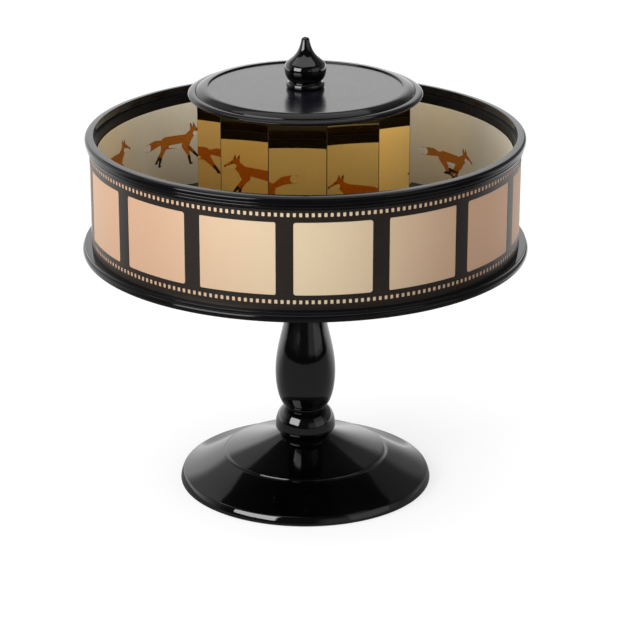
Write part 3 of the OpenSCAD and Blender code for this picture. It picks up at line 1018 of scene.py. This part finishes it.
@dataclass
class Bearing:
    """Spindle, bush, washers and screws, kept as the frame has them."""

    steel: tuple[str, ...] = ("spindle", "spindle_washer", "spindle_nut", "hub_screws", "core_screws",
                              "finial_stud", "stud_washer", "stud_nut")
    brass: tuple[str, ...] = ("thrust_washer", "hub_bush")

    def build(self) -> None:
        """Dress the metal pieces and the boss."""
        dress_nodes(STEEL, *self.steel)
        dress_nodes(BRASS, *self.brass)
        dress_nodes(RawWood(), "hub_boss")


@dataclass
class FilmBand:
    """Perforated film round the wall: frames, bars and two rows of small openings."""

    pitch: float = 57.9
    bar_w: float = 10.5
    frame_h: float = 45.0
    frame_z: float = 197.65
    frame_corner: float = 1.6
    bar_turn: float = -5.2
    film_t: float = 0.06
    film_gap: float = 0.03
    hole_count: int = 232
    hole_h: float = 2.4
    hole_rows: Pair = (170.9, 224.8)
    hole_corner: float = 0.35
    corner_steps: int = 4
    corner_cosine: float = 0.5
    side_cosine: float = 0.99

    @property
    def frame_levels(self) -> Pair:
        """Heights of the frames' lower and upper edges."""
        return self.frame_z - self.frame_h / 2, self.frame_z + self.frame_h / 2

    @property
    def hole_levels(self) -> list[float]:
        """Heights of the small openings' edges."""
        return [row + side * self.hole_h / 2 for row in self.hole_rows for side in (-1, 1)]

    def frames(self) -> list[Pair]:
        """Work out the angles at which each frame starts and ends, in degrees from the front.

        Returns:
            One pair for each frame, the short one at the seam last.
        """
        degree = 180 / (math.pi * reach("film_band"))
        pitch = self.pitch * degree
        bar = self.bar_w * degree
        count = math.floor((360 - bar) / pitch)
        first = self.bar_turn - count // 2 * pitch
        starts = [first + i * pitch for i in range(count + 1)]
        return [(a + bar / 2, b - bar / 2) for a, b in zip(starts, [*starts[1:], first + 360])]

    def is_open(self, middle: Vector, frames: list[Pair]) -> bool:
        """Tell whether a part of the band lies in a frame or in one of the small openings.

        Args:
            middle: middle of the part, in millimetres.
            frames: the frames' angles.

        Returns:
            True where the band is open.
        """
        turn = turn_of(middle)
        z0, z1 = self.frame_levels
        if z0 < middle.z < z1:
            return any(a < turn + lap < b for a, b in frames for lap in (-360, 0, 360))
        in_row = any(abs(middle.z - row) < self.hole_h / 2 for row in self.hole_rows)
        return in_row and math.floor(turn * self.hole_count / 180) % 2 == 0

    def build(self) -> None:
        """Model the film with its openings and dress it."""
        z0, z1 = low("film_band"), high("film_band")
        deselect_all()
        bpy.ops.mesh.primitive_cylinder_add(
            vertices=2 * self.hole_count, radius=reach("film_band") * MM, depth=(z1 - z0) * MM,
            end_fill_type="NOTHING", location=(0, 0, (z0 + z1) / 2 * MM))
        film = name_new("film_sheet")
        apply_place(film)
        frames = self.frames()
        with edit_mode(film, Element.FACES):
            for z in (*self.frame_levels, *self.hole_levels):
                bpy.ops.mesh.select_all(action="SELECT")
                bpy.ops.mesh.bisect(plane_co=(0, 0, z * MM), plane_no=(0, 0, 1))
            for turn in (turn for span in frames for turn in span):
                self.cut(film, turn)
            pick(film, Element.FACES, lambda m, _: self.is_open(m, frames))
            bpy.ops.mesh.delete(type="FACE")
            self.round_corners(film, self.frame_corner, self.frame_levels)
            self.round_corners(film, self.hole_corner, self.hole_levels)
            bpy.ops.mesh.select_all(action="SELECT")
            bpy.ops.mesh.normals_make_consistent(inside=False)
        apply_modifier(film, "SOLIDIFY", thickness=self.film_t * MM, offset=-1.0)
        smooth(film)
        finish_piece(film, Body.DRUM, FilmPrint(), "film_band")

    def cut(self, film: Object, turn: float) -> None:
        """Cut the band along one upright edge of a frame.

        Args:
            film: the band, in edit mode.
            turn: angle of the edge from the front, in degrees.
        """
        z0, z1 = self.frame_levels
        out = ray(turn - 90)
        pick(film, Element.FACES,
             lambda m, _: z0 < m.z < z1 and m.xy.normalized().dot(out) > self.side_cosine)
        bpy.ops.mesh.bisect(plane_co=(0, 0, 0), plane_no=(*ray(turn), 0))

    def round_corners(self, film: Object, radius: float, levels: Pair | list[float]) -> None:
        """Round the corners of the openings whose edges lie at some heights.

        Args:
            film: the band, in edit mode.
            radius: the corners' radius.
            levels: the heights.
        """
        pick(film, Element.VERTS,
             lambda m, vert: any(abs(m.z - z) < NEAR for z in levels) and self.is_corner(vert))
        bpy.ops.mesh.bevel(offset=radius * MM, segments=self.corner_steps, affect="VERTICES")

    def is_corner(self, vert: bmesh.types.BMVert) -> bool:
        """Whether two open edges meet at a vertex, about square to each other."""
        ways = [(e.other_vert(vert).co - vert.co).normalized() for e in vert.link_edges if e.is_boundary]
        return len(ways) == 2 and abs(ways[0].dot(ways[1])) < self.corner_cosine


@dataclass
class Drum:
    """Open drum: moulded floor, hoop, foil and reeded rim."""

    flange_lip_h: float = 1.4
    flange_bead_w: float = 2.0
    flange_lip_w: float = 0.8
    arris: float = 0.5
    fit: float = 0.05
    strip_gap: float = 0.4
    bush_hole_r: float = 7.1
    screw_head_r: float = 3.55
    screw_r: float = 1.85
    screw_head_h: float = 1.7
    screw_reach: float = 12.0
    hole_start: float = 1.0
    screw_sides: int = 32
    boss_screws: tuple[int, float, float] = (3, 22.0, 0.0)
    core_screws: tuple[int, float, float] = (6, 60.25, -4.1)
    rim_edge_h: float = 3.5
    rim_fall: float = 0.4
    rim_round: float = 2.0
    rim_ledge: float = 1.7
    rim_fillet_h: float = 1.0
    rim_fillet_w: float = 0.5
    reed_w: float = 1.0
    reed_step: float = 0.5
    hoop_ease: float = 0.35
    film: FilmBand = field(default_factory=FilmBand)

    @property
    def hoop_in(self) -> float:
        """Radius inside the hoop."""
        return reach("picture_strip") + self.strip_gap

    def floor(self) -> None:
        """Model and dress the floor with its moulded flange and countersunk holes."""
        z0, top = low("drum_floor"), high("drum_floor")
        flange_top = low("wall_hoop")
        out = reach("drum_floor")
        quirk = flange_top - self.flange_lip_h
        lip = out - self.flange_bead_w + self.flange_lip_w
        seat = self.hoop_in - self.fit
        line = Outline().to(self.bush_hole_r, z0).reed(out, self.flange_bead_w, z0, quirk).to(lip, quirk)
        line.arc((lip - self.arris, flange_top - self.arris), self.arris, self.arris, 0, 90, ARRIS_STEPS)
        line.to(seat, flange_top).to(seat, top).to(self.bush_hole_r, top).close()
        floor = line.turned("drum_floor_board")
        cutter = self.screw_holes(z0)
        apply_modifier(floor, "BOOLEAN", operation="DIFFERENCE", object=cutter, solver="EXACT")
        bpy.data.objects.remove(cutter)
        smooth(floor)
        finish_piece(floor, Body.DRUM, SATIN, "drum_floor")

    def screw_holes(self, z0: float) -> Object:
        """Model one countersunk hole and copy it to all the screws.

        Args:
            z0: height of the floor's underside.

        Returns:
            All the holes as one object.
        """
        under, head = z0 - self.hole_start, z0 + self.screw_head_h
        end = head + self.screw_reach
        line = Outline().to(0, under).to(self.screw_head_r, under).to(self.screw_head_r, z0)
        line.to(self.screw_r, head).to(self.screw_r, end).to(0, end)
        first = line.turned("screw_hole", self.screw_sides)
        places = [around(turn + i * 360 / count, r, 0)
                  for count, r, turn in (self.boss_screws, self.core_screws) for i in range(count)]
        holes = [moved_copy(first, "screw_hole_copy", Matrix.Translation(place)) for place in places]
        bpy.data.objects.remove(first)
        return join(holes, "screw_holes")

    def rim(self) -> None:
        """Model and dress the rim: a falling top and a plain edge over two reeds and a fillet."""
        z0, top = low("rim_ring"), high("rim_ring")
        out = reach("rim_ring")
        hoop_top = high("wall_hoop")
        inner = self.hoop_in + self.rim_ledge
        skirt = reach("film_band") + self.fit
        fillet = skirt + self.rim_fillet_w
        edge = top - self.rim_edge_h
        reed_z = z0 + self.rim_fillet_h
        middle = (reed_z + edge) / 2
        round_z = top - self.rim_fall - self.rim_round
        line = Outline().to(inner, hoop_top)
        line.arc((inner + self.arris, top - self.arris), self.arris, self.arris, 180, 90, ARRIS_STEPS)
        line.arc((out - self.rim_round, round_z), self.rim_round, self.rim_round, 90, 0).to(out, edge)
        line.reed(out - self.reed_step, self.reed_w, edge, middle)
        line.reed(out - 2 * self.reed_step, self.reed_w, middle, reed_z)
        line.to(fillet, reed_z).to(fillet, z0).to(skirt, z0).to(skirt, hoop_top).close()
        finish_piece(line.turned("reeded_rim"), Body.DRUM, SATIN, "rim_ring")

    def band(self, name: str, node: str, r0: float, r1: float, ease: float, finish: Finish) -> None:
        """Model and dress a plain band of the wall, as high as its node.

        Args:
            name: the piece's name.
            node: the CAD node that it stands for.
            r0: inner radius.
            r1: outer radius.
            ease: radius of its edges.
            finish: the finish of its surface.
        """
        line = Outline().rectangle(r0, r1, low(node), high(node), ease)
        finish_piece(line.turned(name), Body.DRUM, finish, node)

    def build(self) -> None:
        """Build the floor, the wall with its layers, and the rim."""
        hoop_r = reach("wall_hoop")
        foil_r = reach("film_band") - self.film.film_t - self.film.film_gap
        self.floor()
        self.band("bent_hoop", "wall_hoop", self.hoop_in, hoop_r, self.hoop_ease, HOOP_SATIN)
        self.band("foil_sheet", "foil_band", hoop_r + self.fit, foil_r, self.fit, ChampagneFoil())
        self.film.build()
        self.rim()


@dataclass
class MirrorBlock:
    """Twelve amber panes with ground edges round a hollow core."""

    count: int = 12
    apothem: float = 66.3
    pane_t: float = 2.0
    pane_gap: float = 0.3
    turn: float = -4.1
    ground: float = 0.15
    ground_steps: int = 2

    def pane(self) -> Object:
        """Model one pane that faces the front, its sides mitred and its edges ground.

        Returns:
            The pane before it is turned to its side.
        """
        z0, z1 = low("mirror_01"), high("mirror_01")
        half = math.tan(math.pi / self.count)
        back_w = 2 * (self.apothem - self.pane_t) * half - self.pane_gap
        face = -self.apothem
        deselect_all()
        middle = Vector((0, -self.apothem + self.pane_t / 2, (z0 + z1) / 2))
        bpy.ops.mesh.primitive_cube_add(size=1, location=middle * MM)
        pane = name_new("pane")
        pane.scale = Vector((back_w, self.pane_t, z1 - z0)) * MM
        apply_place(pane)
        for finish in (AmberMirror(), GroundEdge()):
            pane.data.materials.append(finish.material())
        with edit_mode(pane, Element.FACES):
            for side in (-1, 1):
                pick(pane, Element.EDGES, lambda m, _: m.y < face + NEAR and m.x * side > back_w / 2 - NEAR)
                bpy.ops.transform.translate(value=(side * self.pane_t * half * MM, 0, 0))
            pick(pane, Element.EDGES, lambda m, _: m.y < face + NEAR)
            bpy.ops.mesh.bevel(offset=self.ground * MM, segments=self.ground_steps, affect="EDGES")
            pick(pane, Element.FACES, lambda m, _: m.y > face + TOUCH)
            give_second_material()
        return pane

    def build(self) -> None:
        """Model the panes, set each on its side and dress the block."""
        first = self.pane()
        for i in range(self.count):
            node = f"mirror_{i + 1:02d}"
            turn = math.radians(self.turn + i * 360 / self.count)
            pane = moved_copy(first, f"{node}_pane", Matrix.Rotation(turn, 4, "Z"))
            smooth(pane, FLAT_ANGLE)
            finish_piece(pane, Body.DRUM, AmberMirror(), node)
        bpy.data.objects.remove(first)
        dress_nodes(SATIN, "mirror_core")


@dataclass
class Lid:
    """Cap of the mirror block with its onion-shaped finial; curve handles are shares of its sizes."""

    bead_h: float = 3.6
    bead_w: float = 4.45
    drip_h: float = 1.0
    quirk_d: float = 0.4
    foot_h: float = 0.9
    ring_w: float = 7.75
    crest_w: float = 4.2
    crest_fall: float = 0.3
    recess: float = 0.9
    arris: float = 0.5
    spigot_r: float = 56.05
    spigot_h: float = 8.0
    stud_r: float = 2.55
    stud_grip: float = 14.0
    ring_h: float = 3.9
    ring_r: float = 12.0
    ring_bulge: float = 0.9
    neck_r: float = 9.9
    neck_h: float = 0.6
    bulb_h: float = 11.4
    bulb_handles: tuple[Pair, Pair] = ((0.96, 0.17), (1.32, 0.755))
    sweep_share: float = 0.918
    sweep_handles: tuple[Pair, Pair] = ((0.73, 0.21), (1.7, 0.28))
    tip_r: float = 2.7
    tip_share: float = 0.8

    def cap(self) -> None:
        """Model and dress the cap: field, crested ring, hanging bead and spigot."""
        z0, top = low("cap"), high("cap")
        under = z0 + self.spigot_h
        out = reach("cap")
        drip_r, drip_z = out - self.bead_w, under - self.drip_h
        quirk_r, quirk_z = drip_r - self.quirk_d, drip_z + self.bead_h - self.quirk_d
        field_r, field_z = quirk_r - self.ring_w, top - self.recess
        line = Outline().to(self.stud_r, z0).to(self.spigot_r, z0).to(self.spigot_r, under).to(drip_r, under)
        line.reed(out, self.bead_w, drip_z, drip_z + self.bead_h)
        line.to(quirk_r, quirk_z).to(quirk_r - self.quirk_d, quirk_z + self.foot_h)
        line.to(field_r + self.crest_w, top - self.crest_fall)
        line.arc((field_r + self.arris, top - self.arris), self.arris, self.arris, 90, 180, ARRIS_STEPS)
        line.to(field_r, field_z).to(self.stud_r, field_z).close()
        cap = line.turned("moulded_cap")
        for finish in (CAP_SATIN, SATIN):
            cap.data.materials.append(finish.material())
        with edit_mode(cap, Element.FACES):
            pick(cap, Element.FACES, lambda m, _: m.xy.length > field_r)
            give_second_material()
        finish_piece(cap, Body.DRUM, CAP_SATIN, "cap")

    def finial(self) -> None:
        """Model and dress the finial: ring, neck, bulb and swept tip."""
        z0, z1 = low("finial"), high("finial")
        bulb = reach("finial")
        tip_round = self.tip_share * self.tip_r
        tip_z = z1 - tip_round
        ring_z = z0 + self.ring_h
        bulb_z = ring_z + self.neck_h
        sweep_z = bulb_z + self.bulb_h
        sweep_h = tip_z - sweep_z
        swell = bulb - self.neck_r
        grip_z = z0 + self.stud_grip
        bulb_at = [(self.neck_r + r * swell, bulb_z + z * self.bulb_h) for r, z in self.bulb_handles]
        sweep_at = [(r * unit, sweep_z + z * sweep_h)
                    for (r, z), unit in zip(self.sweep_handles, (bulb, self.tip_r))]
        line = Outline().to(0, grip_z).to(self.stud_r, grip_z).to(self.stud_r, z0)
        line.reed(self.ring_r, self.ring_bulge, z0, ring_z)
        line.to(self.neck_r, ring_z).to(self.neck_r, bulb_z)
        line.curve(*bulb_at, (self.sweep_share * bulb, sweep_z)).curve(*sweep_at, (self.tip_r, tip_z))
        line.arc((0, tip_z), self.tip_r, tip_round, 0, 90)
        finish_piece(line.turned("onion_finial", SMALL_STEPS), Body.DRUM, GLOSS, "finial")

    def build(self) -> None:
        """Build the cap and the finial."""
        self.cap()
        self.finial()


@dataclass(frozen=True)
class Stroke:
    """One tapered stroke of the print, between two points, in millimetres about the fox's middle."""

    start: Vector
    end: Vector
    start_r: float
    end_r: float
    ink: Ink
    layer: int


@dataclass
class RunningFox:
    """One phase of a running fox, drawn as tapered strokes."""

    phase: float
    upper: float = 7.2
    lower: float = 7.4
    far_lag: float = 0.09
    sock_from: float = 0.35
    sock_share: float = 0.9
    toe: Point = (1.4, -0.1)
    toe_share: float = 0.7

    def leg(self, root: Vector, swing: float, bend: float, sizes: Triple, near: bool) -> list[Stroke]:
        """Draw one leg as two strokes, a sock and a toe.

        Args:
            root: where the leg leaves the body.
            swing: angle of the upper leg from straight down, in degrees forwards.
            bend: further angle of the lower leg.
            sizes: radii at the body, the joint and the paw.
            near: whether it is on the near side.

        Returns:
            The strokes of the leg.
        """
        knee = root + self.upper * ray(swing - 90)
        paw = knee + self.lower * ray(swing + bend - 90)
        fur, layer = (Ink.ORANGE, 3) if near else (Ink.SHADE, 0)
        big, mid, small = sizes
        sock = knee.lerp(paw, self.sock_from)
        return [Stroke(root, knee, big, mid, fur, layer), Stroke(knee, paw, mid, small, fur, layer),
                Stroke(sock, paw, self.sock_share * mid, small, Ink.BLACK, layer + 1),
                Stroke(paw, paw + Vector(self.toe), small, self.toe_share * small, Ink.BLACK, layer + 1)]

    def strokes(self) -> list[Stroke]:
        """Draw the fox at its phase.

        Returns:
            All its strokes, in any order.
        """
        s, c = math.sin(math.tau * self.phase), math.cos(math.tau * self.phase)
        lag = math.sin(math.tau * (self.phase - self.far_lag))
        hip = Vector((-8.0 - 1.2 * s, 0.4 - 1.2 * c))
        chest = Vector((8.0 + 1.2 * s, 0.6 + 1.0 * c))
        head = chest + Vector((7.4, 5.6 + 0.6 * s))
        muzzle = head + Vector((6.4, -1.9))
        tail = hip + Vector((-9.0, 3.0 + 2.2 * c))
        brush = tail + Vector((-7.2, 1.4 * c))
        tip = brush + Vector((-5.2, -0.8 * c))
        body = (
            (hip, (0, 0), chest, (0, 0), 4.3, 4.7, Ink.ORANGE, 2),
            (hip, (4.0, -3.2), chest, (-0.6, -3.0), 0.9, 1.9, Ink.WHITE, 3),
            (chest, (1.5, 1.0), head, (-1.2, -0.6), 3.6, 2.7, Ink.ORANGE, 2),
            (head, (0, 0), muzzle, (0, 0), 3.1, 0.75, Ink.ORANGE, 4),
            (head, (0.6, -1.6), muzzle, (-0.8, -0.35), 1.5, 0.45, Ink.WHITE, 5),
            (muzzle, (0.2, 0.1), muzzle, (0.5, 0.1), 0.62, 0.5, Ink.BLACK, 6),
            (head, (1.9, 0.75), head, (2.4, 0.75), 0.42, 0.38, Ink.BLACK, 6),
            (head, (-1.7, 1.9), head, (-2.9, 5.7), 1.5, 0.25, Ink.ORANGE, 4),
            (head, (-2.5, 4.4), head, (-2.95, 5.8), 0.62, 0.25, Ink.BLACK, 5),
            (head, (0.2, 2.2), head, (-0.2, 5.9), 1.35, 0.25, Ink.SHADE, 3),
            (hip, (-2.6, 1.2), tail, (0, 0), 1.5, 2.7, Ink.ORANGE, 1),
            (tail, (0, 0), brush, (0, 0), 2.7, 2.9, Ink.ORANGE, 1),
            (brush, (0, 0), tip, (0, 0), 2.75, 0.4, Ink.WHITE, 2),
        )
        front, hind = chest + Vector((-0.8, -2.6)), hip + Vector((-0.4, -1.4))
        legs = self.leg(front, 46 * s + 4, -26 + 24 * s, (2.3, 1.25, 0.75), True)
        legs += self.leg(front + Vector((0.8, 0)), 46 * lag + 8, -26 + 24 * lag, (2.1, 1.15, 0.7), False)
        legs += self.leg(hind, -46 * s - 4, 24 - 30 * s, (3.0, 1.5, 0.8), True)
        legs += self.leg(hind + Vector((1.2, 0)), -46 * lag, 24 - 30 * lag, (2.7, 1.35, 0.75), False)
        return [Stroke(a + Vector(da), b + Vector(db), *rest) for a, da, b, db, *rest in body] + legs


@dataclass
class PictureStrip:
    """Card strip of twelve phases of a running fox, standing loose inside the wall."""

    thickness: float = 0.4
    seam: float = 1.0
    ease: float = 0.08
    count: int = 12
    ink_t: float = 0.012
    print_gap: float = 0.02
    middle_z: float = 196.0
    leap: float = 7.0
    first_turn: float = 12.0
    stroke_sides: int = 24
    stroke_length: float = 2.0
    stroke_cuts: tuple[float, ...] = (
        -0.6, -0.25, 0.0, 0.25, 0.5, 0.75, 1.0, 1.25, 1.5, 1.75, 2.0, 2.25, 2.6)

    def strip(self) -> None:
        """Model and dress the open ring of card."""
        r = reach("picture_strip")
        z0, z1 = low("picture_strip"), high("picture_strip")
        gap = math.degrees(self.seam / r)
        line = Outline().rectangle(r - self.thickness, r, z0, z1, self.ease)
        strip = line.turned("card_strip", FINE_STEPS, 180 + gap / 2, 360 - gap)
        with edit_mode(strip, Element.EDGES):
            bpy.ops.mesh.select_all(action="DESELECT")
            bpy.ops.mesh.select_non_manifold()
            bpy.ops.mesh.edge_face_add()
            close_shell()
        smooth(strip)
        finish_piece(strip, Body.STRIP, StripPaper(), "picture_strip")

    def stroke_shape(self) -> Object:
        """Model the stroke that all the strokes are copied from: a disc drawn out and cut across.

        Returns:
            A flat round-ended stroke of radius 1 along X.
        """
        deselect_all()
        bpy.ops.mesh.primitive_circle_add(vertices=self.stroke_sides, radius=1, fill_type="NGON")
        shape = name_new("stroke")
        with edit_mode(shape):
            pick(shape, Element.VERTS, lambda _, vert: vert.co.x > NEAR)
            bpy.ops.transform.translate(value=(self.stroke_length, 0, 0))
            for x in self.stroke_cuts:
                bpy.ops.mesh.select_all(action="SELECT")
                bpy.ops.mesh.bisect(plane_co=(x, 0, 0), plane_no=(1, 0, 0))
        return shape

    def lay(self, stroke: Stroke, shape: Object, turn: float, z: float) -> Object:
        """Copy the stroke's shape, fit it to a stroke and lay it on the inside of the strip.

        Args:
            stroke: the stroke to lay.
            shape: the shape to copy.
            turn: angle of the fox's middle from the front, in degrees.
            z: height of the fox's middle.

        Returns:
            The stroke in its ink, in place.
        """
        part = moved_copy(shape, "stroke_copy", Matrix())
        part.data.materials.append(PrintInk(stroke.ink).material())
        way = (stroke.end - stroke.start).normalized()
        side = way.orthogonal()
        r = reach("picture_strip") - self.thickness - self.print_gap - self.ink_t * stroke.layer
        for vert in part.data.vertices:
            t = min(max(vert.co.x / self.stroke_length, 0.0), 1.0)
            wide = stroke.start_r + (stroke.end_r - stroke.start_r) * t
            cap = (vert.co.x - t * self.stroke_length) * way + vert.co.y * side
            flat = stroke.start.lerp(stroke.end, t) + wide * cap
            vert.co = around(turn - math.degrees(flat.x / r), r, z + flat.y)
        return part

    def build(self) -> None:
        """Model the strip, print the phases of the fox on it and dress them."""
        self.strip()
        shape = self.stroke_shape()
        for index in range(self.count):
            phase = index / self.count
            turn = self.first_turn - index * 360 / self.count
            z = self.middle_z + self.leap * math.sin(math.tau * phase)
            parts = [self.lay(stroke, shape, turn, z) for stroke in RunningFox(phase).strokes()]
            finish_piece(join(parts, f"fox_print_{index + 1:02d}"), Body.STRIP, PrintInk())
        bpy.data.objects.remove(shape)


@dataclass
class Lamp:
    """A soft white lamp, wide and high, aimed at a point, in metres."""

    name: str
    place: Triple
    aim: Triple
    width: float
    height: float
    power: float

    def build(self) -> None:
        """Hang the lamp."""
        data = bpy.data.lights.new(self.name, "AREA")
        data.shape = "RECTANGLE"
        data.size = self.width
        data.size_y = self.height
        data.energy = self.power
        lamp = bpy.data.objects.new(self.name, data)
        lamp.location = self.place
        lamp.rotation_euler = (Vector(self.aim) - Vector(self.place)).to_track_quat("-Z", "Y").to_euler()
        bpy.context.scene.collection.objects.link(lamp)


@dataclass
class Studio:
    """White floor and surroundings, soft lamps and the camera.

    What reflections show of the floor and the surroundings is shaped by ranges of place or direction.
    """

    floor_size: float = 14.0
    floor_drop: float = 0.1
    floor_tone: float = 0.36
    floor_glow: float = 0.70
    floor_depth: Pair = (-0.04, 0.42)
    floor_mirrored: Pair = (0.21, 1.35)
    floor_reach: Pair = (0.77, 0.91)
    floor_dark: float = 0.02
    fill: Pair = (0.92, 0.46)
    depth_range: Pair = (-0.3, 0.7)
    mirrored: Pair = (0.04, 1.45)
    cove_range: Pair = (0.37, 0.50)
    cove_share: Pair = (0.92, 0.68)
    cove_across: Pair = (0.12, 0.36)
    ceiling_range: Pair = (0.68, 0.95)
    ceiling: float = 0.03
    side_range: Pair = (0.10, 0.36)
    side_share: float = 0.81
    left_range: Pair = (-0.36, -0.10)
    left_share: float = 0.22
    card_level: float = 0.27
    card_across: Pair = (0.12, 0.36)
    card_up: Pair = (0.22, 0.42)
    card_depth: Pair = (-0.1, 0.25)
    camera_place: Triple = (0.0, -1.5678, 0.6930)
    camera_tilt: float = 69.576
    lens: float = 145.565
    sensor: float = 36.0
    image_size: int = 640
    axis_pixel: float = 305.4
    lamps: tuple[Lamp, ...] = (
        Lamp("key_softbox", (-1.16, -1.12, 0.72), (0.0, 0.0, 0.17), 1.22, 0.92, 20.0),
        Lamp("fill_softbox", (1.5, -0.9, 0.6), (0.0, 0.0, 0.15), 1.3, 1.3, 1.5),
        Lamp("top_softbox", (-0.1, 0.2, 1.9), (0.0, 0.0, 0.1), 2.2, 2.2, 14.0),
    )

    @staticmethod
    def shown(graph: Graph, path: bpy.types.NodeOutputs, level: object, white: float) -> object:
        """Change a level for what the camera sees, straight or through glass.

        Args:
            graph: the node tree to build in.
            path: outputs of its Light Path node.
            level: the level for all other rays.
            white: the level for the camera.

        Returns:
            The changed level.
        """
        for name in ("Is Camera Ray", "Is Transmission Ray"):
            level = graph.blend(path[name], level, white)
        return level

    def floor(self) -> None:
        """Lay the pale floor, which glows to white for the camera and keeps the shadow."""
        deselect_all()
        bpy.ops.mesh.primitive_plane_add(size=self.floor_size, location=(0, 0, -self.floor_drop * MM))
        floor = name_new("floor")
        material = bpy.data.materials.new("floor_white")
        floor.data.materials.append(material)
        graph = Graph(material)
        nodes = graph.tree.nodes
        nodes.remove(nodes["Principled BSDF"])
        path = graph.node("ShaderNodeLightPath").outputs
        radius, _, _ = graph.polar()
        y = graph.split(graph.place)["Y"]
        away = graph.slope(radius, self.floor_reach)
        dark = graph.blend(away, 0.0, graph.slope(y, self.floor_depth, UNIT[::-1]))
        level = graph.blend(dark, graph.slope(y, self.floor_depth, self.floor_mirrored), self.floor_dark)
        mirrored = graph.node("ShaderNodeEmission", {"Strength": level})
        glow = graph.node("ShaderNodeEmission", {"Strength": self.shown(graph, path, 0.0, self.floor_glow)})
        matt = graph.node("ShaderNodeBsdfDiffuse", {"Color": (self.floor_tone,) * 3})
        both = graph.node("ShaderNodeAddShader", {0: matt.outputs[0], 1: glow.outputs[0]})
        rays = {0: path["Is Glossy Ray"], 1: both.outputs[0], 2: mirrored.outputs[0]}
        surface = graph.node("ShaderNodeMixShader", rays).outputs[0]
        graph.feed(nodes["Material Output"].inputs["Surface"], surface)

    def world(self) -> None:
        """Set surroundings: white for the camera, shaped for reflections, a soft fill for other rays."""
        world = bpy.data.worlds.new("studio")
        bpy.context.scene.world = world
        graph = Graph(world)
        path = graph.node("ShaderNodeLightPath").outputs
        x, y, z = graph.split(graph.places["Generated"])
        share = graph.slope(graph.math("ABSOLUTE", x), self.cove_across, self.cove_share)
        level = graph.slope(y, self.depth_range, self.mirrored)
        for dimmed in (graph.blend(graph.slope(z, self.cove_range), 0.0, share),
                       graph.slope(z, self.ceiling_range),
                       graph.slope(x, self.side_range, (0.0, self.side_share)),
                       graph.slope(x, self.left_range, (self.left_share, 0.0))):
            level = graph.blend(dimmed, level, self.ceiling)
        card = graph.slope(x, self.card_across)
        for outside in (graph.slope(z, self.card_up), graph.slope(y, self.card_depth)):
            card = graph.blend(outside, card, 0.0)
        level = graph.blend(card, level, self.card_level)
        level = graph.blend(path["Is Glossy Ray"], graph.slope(y, WAVE, self.fill), level)
        sockets = graph.tree.nodes["Background"].inputs
        graph.feed(sockets["Color"], WHITE)
        graph.feed(sockets["Strength"], self.shown(graph, path, level, 1.0))

    def camera(self) -> None:
        """Set the camera at the photograph's angle."""
        data = bpy.data.cameras.new("camera")
        data.lens = self.lens
        data.sensor_width = self.sensor
        data.shift_x = (self.image_size / 2 - self.axis_pixel) / self.image_size
        camera = bpy.data.objects.new("camera", data)
        camera.location = self.camera_place
        camera.rotation_euler = (math.radians(self.camera_tilt), 0, 0)
        bpy.context.scene.collection.objects.link(camera)
        bpy.context.scene.camera = camera

    def build(self) -> None:
        """Set up the whole studio."""
        bpy.context.scene.view_settings.view_transform = "Standard"
        self.camera()
        self.floor()
        self.world()
        for lamp in self.lamps:
            lamp.build()


def main() -> None:
    """Build the studio and every sub-assembly in order."""
    logging.basicConfig(level=logging.INFO, format="%(name)s: %(message)s")
    Studio().build()
    for part in (Pedestal(), Bearing(), Drum(), MirrorBlock(), Lid(), PictureStrip()):
        part.build()
        log.info("%s built", type(part).__name__)


if __name__ == "__main__":
    main()
